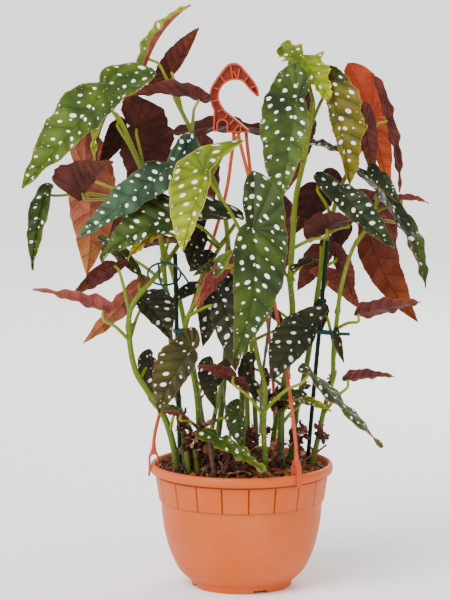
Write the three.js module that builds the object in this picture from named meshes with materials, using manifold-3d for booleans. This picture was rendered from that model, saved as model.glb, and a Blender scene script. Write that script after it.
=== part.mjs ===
// A potted polka dot begonia: canes and spotted leaves in a plastic hanging pot, with its hanger,
// two stakes and three plant ties. Millimetres, +Z up, origin at the centre of the pot's underside.
import * as THREE from 'three';
import { mergeVertices } from 'three/addons/utils/BufferGeometryUtils.js';
import Module from 'manifold-3d';

const wasm = await Module();
wasm.setup();

const gap = 0.35; // between pieces that touch

// Pot
const rimRadius = 85;
const potHeight = 116;
const rimHeight = 9;
const rimWidth = 5;
const wall = 2.2;
const footRadius = 46;
const footHeight = 7;
const floorZ = 3; // the pot's bottom is raised inside its foot
const bowl = [[58, 15], [64.8, 28], [71.5, 50]]; // radius and height up the outside
const tile = { count: 20, top: 105, bottom: 82, radius: 80.5, lowRadius: 77 };
const groove = { width: 1.6, depth: 1.5, turn: 4.5 }; // turned from the front to the first one
const notch = { width: 17, height: 3, slope: 2, turn: 22, count: 4 };
const drain = { radius: 4.5, ring: 32, count: 4 };

// Soil
const soilZ = 109;
const soilRadius = 77; // of the space that it fills
const soilOutline = [[46, 5.7], [54, 17], [68.8, 52], [75.7, 101], [70, 109], [36, 108]]; // radius, height
const holeDepth = 30;
const standZ = soilZ - holeDepth + 3; // the feet of the canes, stakes and stubs

// Hanger
const eye = new THREE.Vector3(-6, 0, 457);
const hookDepth = 8;
const strandRadius = 1.5;
const clip = {
  width: 5, thickness: 1.8, outerLeg: 11.5, innerLeg: 6, arch: 6, shoulder: 1.5, crown: 4.5, neck: 2.2,
};

// Ties: a flat strip's height and thickness, and the thickness of the round wire
const strip = { height: 3.4, thickness: 1, slack: 0.5 };
const wireRadius = 1;

const bladeThickness = 0.9;

const tones = {
  pot: ['#d6805c', 0.5],
  soil: ['#3b2a1f', 0.95],
  hanger: ['#ee694b', 0.4],
  stake: ['#142d28', 0.45],
  twig: ['#8c8478', 0.8],
  tie: ['#0a504b', 0.5],
  cane: ['#82a03c', 0.45],
  green: ['#4b6941', 0.4],
  yellow: ['#96aa28', 0.45],
  maroon: ['#64322d', 0.45],
  coral: ['#eb5f3c', 0.5],
  orange: ['#be5f32', 0.5],
};

const group = new THREE.Group();
group.name = 'potted_polka_dot_begonia';

function addPart(name, geometry, tone) {
  const [color, roughness] = tones[tone];
  const material = new THREE.MeshStandardMaterial({ color, roughness, metalness: 0 });
  const mesh = new THREE.Mesh(geometry, material);
  mesh.name = name;
  group.add(mesh);
  return mesh;
}

// Solids for joining and cutting

function solid(geometry) {
  const bare = geometry.clone();
  bare.deleteAttribute('normal');
  bare.deleteAttribute('uv');
  const merged = mergeVertices(bare, 1e-4);
  const vertProperties = new Float32Array(merged.attributes.position.array);
  const triVerts = new Uint32Array(merged.index.array);
  return new wasm.Manifold(new wasm.Mesh({ numProp: 3, vertProperties, triVerts }));
}

function geometryOf(manifold) {
  const { vertProperties, triVerts } = manifold.getMesh();
  const geometry = new THREE.BufferGeometry();
  geometry.setAttribute('position', new THREE.BufferAttribute(new Float32Array(vertProperties), 3));
  geometry.setIndex(new THREE.BufferAttribute(new Uint32Array(triVerts), 1));
  geometry.computeVertexNormals();
  return geometry;
}

const join = (first, ...others) => others.reduce((sum, other) => sum.add(other), first);
const cut = (first, ...others) => others.reduce((rest, other) => rest.subtract(other), first);

const vec = (list) => new THREE.Vector3(...list);
const turn = (degrees) => THREE.MathUtils.degToRad(degrees);

// A direction round the pot: 0 degrees is the front, 90 the right side.
const around = (degrees, radius, z) =>
  new THREE.Vector3(radius * Math.sin(turn(degrees)), -radius * Math.cos(turn(degrees)), z);

// Solids made at the front and turned to each of count places round the pot.
const everyWay = (count, first, make) =>
  Array.from({ length: count }, (unused, i) => solid(make().rotateZ(turn(first + (i * 360) / count))));

function uprightPost(x, y, bottom, top, radius, sides) {
  const post = new THREE.CylinderGeometry(radius, radius, top - bottom, sides);
  post.rotateX(Math.PI / 2);
  post.translate(x, y, (top + bottom) / 2);
  return post;
}

function lathe(profile, sides) {
  const points = profile.map(([radius, z]) => new THREE.Vector2(radius, z));
  const body = new THREE.LatheGeometry(points, sides);
  body.rotateX(Math.PI / 2);
  return body;
}

// A rod of one thickness along a smooth path.
function rod(path, radius, sides, steps) {
  const curve = new THREE.CatmullRomCurve3(path, false, 'centripetal');
  const section = new THREE.Shape();
  for (let i = 0; i < sides; i += 1) {
    const a = (2 * Math.PI * i) / sides;
    section[i ? 'lineTo' : 'moveTo'](radius * Math.cos(a), radius * Math.sin(a));
  }
  return new THREE.ExtrudeGeometry(section, { steps, extrudePath: curve, bevelEnabled: false });
}

// A cane: a rod that thins towards its top, a little swollen at each joint.
function taperedRod(path, radiusAt, sides, stations) {
  const curve = new THREE.CatmullRomCurve3(path, false, 'centripetal');
  const position = [];
  const index = [];
  const side = new THREE.Vector3(1, 0, 0);
  stations.forEach((s) => {
    const centre = curve.getPointAt(s);
    const along = curve.getTangentAt(s);
    const across = side.clone().addScaledVector(along, -side.dot(along)).normalize();
    const third = along.clone().cross(across);
    side.copy(across);
    for (let i = 0; i < sides; i += 1) {
      const a = (2 * Math.PI * i) / sides;
      const point = centre.clone();
      point.addScaledVector(across, radiusAt(s) * Math.cos(a));
      point.addScaledVector(third, radiusAt(s) * Math.sin(a));
      position.push(...point);
    }
  });
  const last = stations.length - 1;
  for (let row = 0; row < last; row += 1) {
    for (let i = 0; i < sides; i += 1) {
      const a = row * sides + i;
      const b = row * sides + ((i + 1) % sides);
      index.push(a, b, b + sides, a, b + sides, a + sides);
    }
  }
  for (let i = 1; i < sides - 1; i += 1) {
    index.push(0, i + 1, i, last * sides, last * sides + i, last * sides + i + 1);
  }
  const geometry = new THREE.BufferGeometry();
  geometry.setAttribute('position', new THREE.Float32BufferAttribute(position, 3));
  geometry.setIndex(index);
  return geometry;
}

// Pot

function makePot() {
  const under = potHeight - rimHeight;
  const outside = [
    [0, floorZ], [footRadius - 6, floorZ], [footRadius - 4.5, 0], [footRadius, 0],
    [footRadius + 2, footHeight], ...bowl, [tile.lowRadius - 1.6, tile.bottom - 1.5],
    [tile.lowRadius, tile.bottom], [tile.radius, tile.top],
    [tile.radius, under], [rimRadius - 1, under], [rimRadius, under + 2], [rimRadius, potHeight - 3],
    [rimRadius - 2, potHeight],
  ];
  const inside = [
    [rimRadius - rimWidth, potHeight], [rimRadius - rimWidth, soilZ + 0.5],
    [soilRadius + 1, soilZ], [soilRadius, soilZ - 3], [bowl[2][0] - wall, bowl[2][1] + 2],
    [bowl[0][0] - wall, bowl[0][1] + 1], [footRadius, floorZ + wall], [0, floorZ + wall],
  ];
  const body = solid(lathe([...outside, ...inside], tile.count * 2));
  const slant = Math.atan((tile.radius - tile.lowRadius) / (tile.top - tile.bottom));
  const grooves = everyWay(tile.count, groove.turn, () => {
    const slot = new THREE.BoxGeometry(groove.width, 2 * groove.depth, tile.top - tile.bottom + 2);
    slot.rotateX(-slant);
    return slot.translate(0, -(tile.radius + tile.lowRadius) / 2 - 0.1, (tile.top + tile.bottom) / 2);
  });
  const notches = everyWay(notch.count, notch.turn, () => {
    const low = notch.width / 2;
    const high = low - notch.slope;
    const outline = [[-low, -1], [low, -1], [high, notch.height], [-high, notch.height]];
    const shape = new THREE.Shape(outline.map(([x, z]) => new THREE.Vector2(x, z)));
    const wedge = new THREE.ExtrudeGeometry(shape, { depth: 14, bevelEnabled: false });
    return wedge.rotateX(Math.PI / 2).translate(0, 8 - footRadius, 0);
  });
  const drains = everyWay(drain.count, notch.turn, () =>
    uprightPost(0, -drain.ring, floorZ - 1, floorZ + wall + 1, drain.radius, 8));
  return geometryOf(cut(body, ...grooves, ...notches, ...drains));
}

addPart('pot', makePot(), 'pot');

// Canes: the points of each one's path, from where it leaves the soil, and its thickness there

const canes = {
  a: { radius: 3.4, joints: [0.35, 0.62, 0.85], path: [
    [-59, -28, 121], [-70, -38, 162], [-86, -42, 189], [-97, -44, 208], [-103, -45, 242], [-101, -42, 267],
    [-78, -36, 296], [-60, -30, 320], [-49, -22, 339]] },
  b: { radius: 3, joints: [0.3, 0.6, 0.8], path: [
    [-52, 2, 119], [-59, 6, 173], [-68, 10, 248], [-75, 14, 322], [-83, 16, 359], [-93, 16, 392]] },
  c: { radius: 3.2, joints: [0.3, 0.6, 0.85], path: [
    [-25, 25, 119], [-18, 28, 169], [-13, 28, 264], [-15, 26, 340], [-29, 24, 384], [-52, 20, 434],
    [-62, 18, 454]] },
  d: { radius: 3, joints: [0.5, 0.75, 0.92], path: [
    [-39, -22, 124], [-41, -28, 179], [-49, -34, 227], [-51, -36, 253], [-43, -36, 270], [-34, -34, 297],
    [-17, -32, 326], [-5, -30, 344]] },
  e: { radius: 2.8, joints: [0.18, 0.45, 0.8], path: [
    [22, -38, 127], [20, -42, 154], [21, -48, 194], [15, -52, 220], [10, -54, 248], [8, -58, 285],
    [9, -62, 322]] },
  f: { radius: 3.5, joints: [0.3, 0.55, 0.7, 0.85], path: [
    [37, -8, 124], [37, -6, 167], [43, -4, 212], [47, 0, 258], [45, 0, 287], [47, 0, 324], [50, -2, 366],
    [56, -6, 394], [61, -10, 424], [65, -14, 454]] },
  g: { radius: 3.1, joints: [0.2, 0.5, 0.75], path: [
    [46, 24, 121], [52, 24, 163], [60, 22, 199], [67, 20, 246], [75, 22, 301], [82, 25, 335], [93, 28, 372],
    [106, 30, 397], [117, 32, 416]] },
  h: { radius: 2.7, joints: [0.15, 0.4, 0.62, 0.85], path: [
    [66, 0, 119], [72, -2, 143], [77, -4, 168], [84, -6, 194], [85, -6, 222], [88, -8, 252], [92, -8, 283],
    [103, -6, 318], [116, -2, 337], [126, 2, 361]] },
  i: { radius: 3.2, joints: [0.35, 0.7], path: [
    [-1, 50, 118], [4, 62, 212], [19, 68, 287], [25, 72, 344]] },
  j: { radius: 3.2, joints: [0.3, 0.65], path: [
    [-33, 46, 118], [-49, 62, 212], [-69, 72, 296], [-96, 76, 353]] },
};

function canePath(cane) {
  const [x, y] = cane.path[0];
  const buried = [standZ, soilZ - 12, soilZ + 3].map((z) => new THREE.Vector3(x, y, z));
  return [...buried, ...cane.path.slice(1).map(vec)];
}

// The point of a cane at a height, where a leaf stalk leaves it.
function pointOnCane(cane, z) {
  const curve = new THREE.CatmullRomCurve3(canePath(cane), false, 'centripetal');
  let low = 0;
  let high = 1;
  for (let i = 0; i < 24; i += 1) {
    const middle = (low + high) / 2;
    if (curve.getPointAt(middle).z < z) low = middle;
    else high = middle;
  }
  return curve.getPointAt(low);
}

function caneSolid(cane) {
  const swelling = (s) => Math.max(0, ...cane.joints.map((joint) => 1 - Math.abs(s - joint) / 0.02));
  const radiusAt = (s) => cane.radius * (1 - 0.4 * s) * (1 + 0.35 * swelling(s));
  const length = new THREE.CatmullRomCurve3(canePath(cane), false, 'centripetal').getLength();
  const spread = [0, holeDepth / length, ...Array.from({ length: 6 }, (unused, i) => (i + 1) / 6)];
  const rings = cane.joints.flatMap((joint) => [joint - 0.025, joint, joint + 0.025]);
  const clear = spread.filter((s) => cane.joints.every((joint) => Math.abs(s - joint) > 0.035));
  const stations = [...clear, ...rings].sort((p, q) => p - q);
  return solid(taperedRod(canePath(cane), radiusAt, 5, stations));
}

// Leaves

// A leaf lies along the line from its junction with the stalk to its tip. One half is broad and runs
// back past the junction as a lobe; the other is narrow and ends there, which leaves the notch.
const leafDefaults = {
  hand: 1, // +1: the broad half is clockwise of the tip's direction, seen from the green side
  broad: 0.27, // half widths, in leaf lengths
  narrow: 0.17,
  peak: 0.6, // less moves the broad half's widest place towards the lobe
  lobe: 0.44,
  inner: 0.08, // the lobe's width on the notch side
  veer: 0, // how far the lobe's end swings to the broad side
  sway: 0.05, // how far the midrib bends to the broad side
  bow: 0.07, // arch along the midrib
  fold: 0.22, // rise of the halves from the midrib
  frill: 1, // how much the edges wave
  rise: 0.06, // how far the stalk arches up, in its own lengths
  stalk: 1.3, // its radius
  fine: true,
};

// Rows across a blade: from -1 at the lobe's end through 0 at the junction to 1 at the tip.
const fineRows = [-1, -0.5, -0.14, 0, 0.2, 0.47, 0.76, 1];
const plainRows = [-1, 0, 0.28, 0.62, 1];
const leastWidth = 0.014; // of each half at the ends, in leaf lengths

function bladeFrame(leaf) {
  const base = vec(leaf.base);
  const along = vec(leaf.tip).sub(base);
  const length = along.length();
  along.normalize();
  const up = vec(leaf.up);
  up.addScaledVector(along, -up.dot(along)).normalize();
  const across = along.clone().cross(up).multiplyScalar(leaf.hand);
  return { base, along, up, across, length };
}

// t runs from 0 at the junction to 1 at the tip, and down to -lobe; side is in leaf lengths.
function bladePoint(leaf, frame, t, side, lift) {
  const { base, along, up, across, length } = frame;
  const centre = t < 0 ? leaf.veer * (t / leaf.lobe) ** 2 : leaf.sway * 4 * t * (1 - t);
  const arch = leaf.bow * 4 * t * (1 - t);
  const rise = leaf.fold * Math.abs(side) * (1 - 0.4 * Math.abs(side));
  const point = base.clone().addScaledVector(along, t * length);
  point.addScaledVector(across, (centre + side) * length);
  point.addScaledVector(up, (arch + rise) * length + lift);
  return point;
}

function halfWidths(leaf, t, row) {
  const swell = (share, power) => Math.max(0, Math.sin(Math.PI * Math.max(0, share) ** power));
  const tooth = 1 + (row % 2 ? 0.05 : -0.05);
  const broad = leaf.broad * swell((t + leaf.lobe) / (1 + leaf.lobe), leaf.peak) ** 0.85 * tooth;
  const narrow = leaf.narrow * swell((t + 0.05) / 1.05, 0.6) ** 0.8 * tooth;
  const inner = t < 0 ? leaf.inner * (0.4 + 0.6 * Math.sin((-Math.PI * t) / leaf.lobe)) : 0;
  return [Math.max(leastWidth, broad), Math.max(leastWidth, narrow, inner)];
}

function bladeGeometry(leaf) {
  const frame = bladeFrame(leaf);
  const rows = leaf.fine ? fineRows : plainRows;
  const across = leaf.fine ? [0.55, 1] : [1];
  const columns = across.length + 2;
  const position = [];
  const index = [];
  const faces = [bladeThickness / 2, -bladeThickness / 2];
  faces.forEach((lift) => {
    rows.forEach((rowAt, row) => {
      const t = rowAt < 0 ? rowAt * leaf.lobe : rowAt;
      const [broad, narrow] = halfWidths(leaf, t, row);
      [-narrow, 0, ...across.map((share) => share * broad)].forEach((side) => {
        const edge = side === broad || side === -narrow ? 0.02 * leaf.frill * (row % 2 ? 1 : -1) : 0;
        position.push(...bladePoint(leaf, frame, t, side, lift + edge * frame.length * (side > 0 ? 1 : -1)));
      });
    });
  });
  const count = rows.length * columns;
  const quad = (a, b, c, d) => index.push(a, b, c, a, c, d);
  for (let row = 0; row < rows.length - 1; row += 1) {
    for (let i = 0; i < columns - 1; i += 1) {
      const a = row * columns + i;
      const [b, c, d] = [a + columns, a + columns + 1, a + 1];
      index.push(a, b, c, a, c, d);
      index.push(a + count, c + count, b + count, a + count, d + count, c + count);
    }
  }
  for (let row = 0; row < rows.length - 1; row += 1) {
    const a = row * columns;
    const d = a + columns - 1;
    quad(a, a + count, a + count + columns, a + columns);
    quad(d, d + columns, d + columns + count, d + count);
  }
  for (let i = 0; i < columns - 1; i += 1) {
    const z = (rows.length - 1) * columns + i;
    quad(i, i + 1, i + 1 + count, i + count);
    quad(z, z + count, z + 1 + count, z + 1);
  }
  if (leaf.hand > 0) {
    for (let i = 0; i < index.length; i += 3) [index[i], index[i + 1]] = [index[i + 1], index[i]];
  }
  const geometry = new THREE.BufferGeometry();
  geometry.setAttribute('position', new THREE.Float32BufferAttribute(position, 3));
  geometry.setIndex(index);
  return geometry;
}

// The stalk leaves the cane, rises a little and meets the blade's underside squarely.
function stalkSolid(leaf, cane) {
  const { base, along, up, length } = bladeFrame(leaf);
  const under = up.clone().addScaledVector(along, -4 * leaf.bow).normalize();
  const start = pointOnCane(cane, leaf.from);
  const stop = leaf.separate ? bladeThickness / 2 + gap + 0.1 : 0;
  const end = base.clone().addScaledVector(under, -stop);
  const neck = base.clone().addScaledVector(under, -0.09 * length - 3);
  const middle = start.clone().lerp(neck, 0.55);
  middle.z += leaf.rise * start.distanceTo(neck);
  return solid(rod([start, middle, neck, end], leaf.stalk, leaf.separate ? 4 : 3, 3));
}

const leaves = [];
function leaf(name, cane, from, base, tip, up, extra = {}) {
  leaves.push({ ...leafDefaults, name, cane, from, base, tip, up, tone: 'green', separate: true, ...extra });
}
function smallLeaf(name, cane, from, base, tip, up, extra = {}) {
  leaf(name, cane, from, base, tip, up, { separate: false, fine: false, ...extra });
}

// Large leaves, by place: base is the junction, tip the tip, up the way the green side faces
leaf('leaf_01', 'b', 385, [-126, -28, 464], [-199, -56, 378], [-3, -9, 5],
  { hand: -1, veer: 0.1, peak: 0.46, broad: 0.21, narrow: 0.22, lobe: 0.4, inner: 0.14 });
leaf('leaf_02', 'c', 450, [-86, 12, 490], [-47, 2, 540], [-9, -1.5, 3],
  { tone: 'yellow', hand: -1, fold: 0.9, broad: 0.18, narrow: 0.12, lobe: 0.35, veer: 0.1 });
leaf('leaf_03', 'c', 440, [-65, 25, 476], [-39, 18, 519], [2, 9, 3],
  { tone: 'maroon', broad: 0.29, narrow: 0.08, lobe: 0.5, veer: 0.2, peak: 0.75, sway: 0 });
leaf('leaf_05', 'c', 420, [-39, -16, 455], [-104, 6, 455], [0, 6, 7],
  { tone: 'maroon', broad: 0.25, narrow: 0.08, lobe: 0.25, veer: 0.2, hand: -1 });
leaf('leaf_06', 'c', 380, [-2, 52, 426], [-72, 34, 418], [0, 6, 8], { tone: 'maroon' });
leaf('leaf_07', 'b', 380, [-98, 42, 423], [-86, 55, 341], [0, 9, 2],
  { tone: 'maroon', broad: 0.38, peak: 0.75, narrow: 0.22, inner: 0.12, sway: 0 });
leaf('leaf_08', 'b', 375, [-122, 25, 442], [-134, 18, 390], [-8, -3, 3],
  { tone: 'yellow', fold: 0.5, broad: 0.2, narrow: 0.13, lobe: 0.15 });
leaf('leaf_09', 'b', 340, [-147, 72, 380], [-147, 80, 281], [-1, 9, 2],
  { tone: 'orange', broad: 0.27, narrow: 0.2, peak: 0.75, inner: 0.14 });
leaf('leaf_10', 'a', 330, [-69, -38, 394], [-150, -66, 332], [-2, -8, 6],
  { hand: -1, broad: 0.21, narrow: 0.16, veer: -0.25, lobe: 0.44, inner: 0.1, peak: 0.5 });
leaf('leaf_11', 'j', 335, [-147, 4, 367], [-117, -28, 399], [2, 4, 9],
  { tone: 'maroon', broad: 0.62, narrow: 0.1, lobe: 0.15, veer: 0, peak: 0.42 });
leaf('leaf_12', 'j', 345, [-180, 10, 369], [-193, -8, 297], [-4, -9, 1],
  { fold: 0.5, broad: 0.13, narrow: 0.13, lobe: 0.1, sway: 0 });
leaf('leaf_13', 'd', 320, [-45, -58, 356], [-128, -80, 316], [0, -7, 7],
  { broad: 0.26, peak: 0.75, veer: -0.18, inner: 0.16 });
leaf('leaf_14', 'e', 318, [-33, -78, 394], [-53, -98, 325], [-2, -10, 3],
  { tone: 'yellow', broad: 0.36, peak: 0.85, narrow: 0.11, veer: -0.3, lobe: 0.55, sway: 0 });
leaf('leaf_16', 'e', 318, [9, -100, 346], [-8, -112, 230], [1, -9, 2],
  { hand: -1, sway: 0.07, veer: -0.04, inner: 0.09, broad: 0.25 });
leaf('leaf_17', 'f', 440, [49, -46, 457], [33, -74, 365], [1, -10, 2],
  { broad: 0.31, peak: 0.8, narrow: 0.14, lobe: 0.38, inner: 0.11, veer: 0.05, sway: 0 });
leaf('leaf_18', 'f', 452, [56, -8, 493], [80, -26, 456], [2, -8, 6],
  { tone: 'yellow', broad: 0.4, narrow: 0.32, lobe: 0.55, frill: 3 });
leaf('leaf_19', 'f', 425, [79, -12, 474], [98, -34, 376], [-2, -9, 3],
  { hand: -1, broad: 0.23, narrow: 0.07, lobe: 0.12, peak: 0.7, sway: 0.03 });
leaf('leaf_20', 'g', 412, [121, 48, 434], [139, 56, 366], [0, 10, 1],
  { tone: 'coral', narrow: 0.1, lobe: 0.8, inner: 0.17, sway: 0, bow: 0.02, veer: -0.12 });
leaf('leaf_21', 'g', 405, [135, 22, 432], [146, 10, 367], [7, 4, 1],
  { tone: 'maroon', broad: 0.16, narrow: 0.1, lobe: 0.65, fold: 0.15, bow: 0.02 });
leaf('leaf_24', 'h', 345, [89, -48, 375], [139, -74, 323], [1, -8, 6],
  { broad: 0.19, narrow: 0.19, lobe: 0.4 });
leaf('leaf_26', 'g', 340, [71, 34, 371], [45, 48, 322], [0, 9, 4],
  { tone: 'maroon', broad: 0.38, narrow: 0.24 });
leaf('leaf_27', 'h', 330, [118, 46, 335], [166, 60, 239], [-2, 9, 1],
  { tone: 'orange', broad: 0.2, narrow: 0.14, lobe: 0.2, peak: 0.7, sway: -0.06 });
leaf('leaf_31', 'h', 240, [107, -22, 258], [163, -40, 272], [0, 7, 7],
  { tone: 'maroon', broad: 0.2, narrow: 0.2, lobe: 0.06, sway: 0, bow: 0.02 });
leaf('leaf_32', 'a', 235, [-126, -58, 267], [-188, -86, 290], [0, 6, 8],
  { tone: 'maroon', hand: -1, broad: 0.2, narrow: 0.08, lobe: 0.1, peak: 0.4, bow: 0 });
leaf('leaf_33', 'a', 262, [-117, -10, 301], [-153, -38, 279], [0, 9, 4],
  { tone: 'maroon', broad: 0.19, lobe: 0.25, narrow: 0.2 });
leaf('leaf_34', 'b', 255, [-95, 32, 280], [-150, 42, 220], [-3, 9, 2],
  { tone: 'orange', broad: 0.17, narrow: 0.1, lobe: 0.12 });
leaf('leaf_39', 'd', 205, [-46, -92, 235], [-75, -102, 179], [-1, -9, 3],
  { broad: 0.33, peak: 0.75, veer: 0.12, lobe: 0.32, narrow: 0.2 });
leaf('leaf_48', 'f', 215, [62, -56, 250], [27, -70, 203], [1, -9, 4],
  { broad: 0.38, peak: 0.9, narrow: 0.2 });
leaf('leaf_49', 'e', 170, [61, -92, 215], [126, -116, 151], [6, -3, 6],
  { broad: 0.19, narrow: 0.1, fold: -0.22, lobe: 0.12, hand: -1, sway: -0.02, bow: 0.02 });
leaf('leaf_53', 'd', 135, [-18, -64, 149], [26, -86, 120], [1, -7, 8],
  { broad: 0.22, narrow: 0.1, lobe: 0.45, peak: 0.42 });
leaf('leaf_b1', 'j', 340, [-49, 84, 390], [-43, 104, 311], [0, 9, 3], { broad: 0.32 });
leaf('leaf_b2', 'i', 318, [20, 96, 327], [14, 114, 233], [0, 9, 3], { broad: 0.32 });
leaf('leaf_b3', 'i', 340, [45, 62, 436], [44, 76, 362], [0, 9, 3], { broad: 0.32 });
leaf('leaf_b6', 'g', 300, [112, 90, 345], [140, 118, 275], [2, 9, 3], { broad: 0.32, lobe: 0.3 });

// Small leaves and bracts, grown with their cane
smallLeaf('22', 'g', 390, [112, -2, 431], [120, -10, 386], [-3, 9, 1]);
smallLeaf('23', 'h', 355, [126, -22, 388], [144, -38, 362], [0, -8, 5]);
smallLeaf('25', 'f', 385, [57, 24, 412], [95, -8, 404], [0, -2, 10]);
smallLeaf('26b', 'f', 315, [78, -8, 335], [108, -48, 348], [0, 6, 8], { broad: 0.4, narrow: 0.25 });
smallLeaf('78', 'h', 225, [76, 14, 262], [72, 12, 232], [0, -9, 3],
  { broad: 0.3, narrow: 0.24, lobe: 0.2 });
smallLeaf('28', 'h', 350, [148, 15, 360], [173, 8, 357], [0, 6, 8]);
smallLeaf('29', 'h', 358, [129, 8, 370], [163, -12, 307], [6, -4, 5]);
smallLeaf('30', 'h', 335, [151, 22, 343], [171, 12, 277], [6, -4, 1]);
smallLeaf('35', 'b', 280, [-118, 34, 314], [-90, 20, 283], [0, -4, 9]);
smallLeaf('36', 'a', 325, [-72, -60, 342], [-103, -74, 315], [0, -8, 5], { broad: 0.22, narrow: 0.12 });
smallLeaf('37', 'b', 300, [-69, 36, 321], [-104, 30, 311], [0, 7, 7]);
smallLeaf('38', 'a', 235, [-92, -14, 270], [-66, -30, 236], [0, -8, 5],
  { broad: 0.48, narrow: 0.22, lobe: 0.15, hand: -1 });
smallLeaf('40', 'a', 200, [-84, -26, 217], [-74, -40, 179], [0, -9, 3], { broad: 0.3, lobe: 0.25 });
smallLeaf('41', 'd', 290, [-15, -72, 312], [-42, -90, 271], [3, 5, 8]);
smallLeaf('42', 'd', 258, [-18, -66, 277], [-6, -80, 214], [-1, -9, 3],
  { hand: -1, broad: 0.3, narrow: 0.22 });
smallLeaf('43', 'c', 240, [-34, -12, 277], [-36, -26, 228], [0, -9, 3], { hand: -1, broad: 0.34 });
smallLeaf('45', 'e', 165, [-8, -52, 205], [-41, -82, 219], [0, 6, 8]);
smallLeaf('46', 'd', 180, [-28, -39, 208], [-24, -53, 175], [0, -9, 3], { broad: 0.34 });
smallLeaf('47', 'f', 185, [9, -16, 209], [2, -20, 178], [0, -9, 3], { broad: 0.34 });
smallLeaf('50', 'h', 160, [98, -16, 196], [140, -28, 201], [0, 6, 8], { lobe: 0.12, bow: 0.02 });
smallLeaf('51', 'h', 210, [89, -24, 237], [94, -34, 214], [0, -9, 3], { broad: 0.2, narrow: 0.12 });
smallLeaf('52', 'f', 150, [54, -2, 176], [83, -14, 166], [0, -4, 9]);
smallLeaf('54', 'd', 150, [-2, -44, 169], [2, -50, 137], [0, -9, 3], { broad: 0.42 });
smallLeaf('55', 'd', 150, [-56, -62, 171], [-74, -72, 175], [0, 6, 8]);
smallLeaf('56', 'd', 318, [-38, -30, 335], [-47, -42, 303], [0, -9, 3], { broad: 0.42, narrow: 0.28 });
smallLeaf('57', 'd', 300, [-18, -56, 306], [-45, -60, 298], [0, -7, 7]);
smallLeaf('58', 'f', 288, [52, -8, 303], [73, -12, 309], [0, -6, 7], { narrow: 0.22 });
smallLeaf('59', 'g', 290, [88, 14, 305], [103, 10, 269], [2, 9, 2]);
smallLeaf('60', 'g', 265, [80, 30, 282], [111, 26, 254], [0, 8, 5], { broad: 0.32 });
smallLeaf('61', 'd', 190, [-16, -32, 207], [-32, -38, 182], [0, -9, 4]);
smallLeaf('62', 'e', 175, [10, -30, 197], [22, -36, 173], [0, -9, 4]);
smallLeaf('68', 'g', 225, [24, 8, 265], [41, 4, 243], [0, -9, 4]);
smallLeaf('b4', 'i', 215, [56, 86, 236], [40, 100, 190], [0, 9, 3], { lobe: 0.2 });
smallLeaf('b5', 'j', 190, [-62, 88, 205], [-74, 98, 150], [0, 9, 3], { lobe: 0.2 });
smallLeaf('b7', 'j', 320, [-116, 102, 343], [-134, 112, 298], [-3, 9, 3], { lobe: 0.2 });
smallLeaf('b8', 'i', 260, [-8, 92, 285], [-30, 108, 222], [0, 9, 3]);
smallLeaf('69', 'e', 300, [-22, -106, 312], [-8, -115, 329], [-3, -9, 4], { broad: 0.3, narrow: 0.3 });
smallLeaf('70', 'a', 150, [-60, -50, 172], [-77, -58, 173], [0, -5, 8], { broad: 0.4, narrow: 0.3 });
smallLeaf('71', 'd', 290, [-31, -44, 312], [-48, -52, 301], [0, -8, 5], { broad: 0.45, narrow: 0.35 });
smallLeaf('72', 'f', 160, [51, -26, 183], [28, -32, 178], [0, -8, 6], { broad: 0.25, narrow: 0.2 });
smallLeaf('73', 'b', 372, [-115, 29, 430], [-133, 30, 388], [0, 9, 2], { broad: 0.25, lobe: 0.15 });
smallLeaf('74', 'g', 325, [100, 38, 334], [87, 35, 306], [0, 9, 3],
  { hand: -1, broad: 0.36, narrow: 0.24, lobe: 0.2 });
smallLeaf('75', 'c', 250, [-40, -20, 284], [-66, -24, 268], [0, -9, 4],
  { broad: 0.2, narrow: 0.2, lobe: 0.15 });
smallLeaf('77', 'g', 285, [74, 38, 313], [52, 34, 272], [0, 9, 3], { broad: 0.3, narrow: 0.24, lobe: 0.3 });

for (const [letter, cane] of Object.entries(canes)) {
  const own = leaves.filter((one) => one.cane === letter);
  const stalks = own.map((one) => stalkSolid(one, cane));
  const blades = own.filter((one) => !one.separate).map((one) => solid(bladeGeometry(one)));
  addPart(`cane_${letter}`, geometryOf(join(caneSolid(cane), ...stalks, ...blades)), 'cane');
}
for (const one of leaves.filter((entry) => entry.separate)) {
  addPart(one.name, bladeGeometry(one), one.tone);
}

// Sticks: two stakes and a dry twig

const sticks = {
  stake_left: { radius: 2, foot: [-57, -38], top: [-61, -38, 316], tone: 'stake' },
  stake_right: { radius: 2, foot: [62, 12], top: [79, -4, 324], tone: 'stake' },
  dry_twig: { radius: 1, foot: [-6, -34], top: [-19, -31, 198], tone: 'twig' },
};
for (const [name, stick] of Object.entries(sticks)) {
  const [x, y] = stick.foot;
  const path = [[x, y, standZ], [x, y, soilZ - 5], [x, y, soilZ + 4], stick.top].map(vec);
  addPart(name, rod(path, stick.radius, 5, 6), stick.tone);
}

// Cut stubs of old stems

const stubs = [
  { at: [-48, -46], radius: 2.6, top: 134 },
  { at: [-40, -42], radius: 2.9, top: 136 },
  { at: [-25, -58], radius: 2.3, top: 146 },
];
stubs.forEach(({ at: [x, y], radius, top }, i) => {
  addPart(`stem_stub_${i + 1}`, uprightPost(x, y, standZ, top, radius, 6), 'cane');
});

// Soil, with a plain hole for everything that stands in it

function makeSoil() {
  const [underside] = soilOutline;
  const body = solid(lathe([[0, underside[1]], ...soilOutline, [0, soilZ + 1]], 16));
  const feet = [
    ...Object.values(canes).map(({ path: [[x, y]], radius }) => [x, y, radius]),
    ...Object.values(sticks).map(({ foot: [x, y], radius }) => [x, y, radius]),
    ...stubs.map(({ at: [x, y], radius }) => [x, y, radius]),
  ];
  const sides = 6;
  const holes = feet.map(([x, y, radius]) => {
    const clear = (radius + gap) / Math.cos(Math.PI / sides) + 0.1;
    return solid(uprightPost(x, y, soilZ - holeDepth, soilZ + 8, clear, sides));
  });
  return geometryOf(cut(body, ...holes));
}

addPart('soil', makeSoil(), 'soil');

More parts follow.
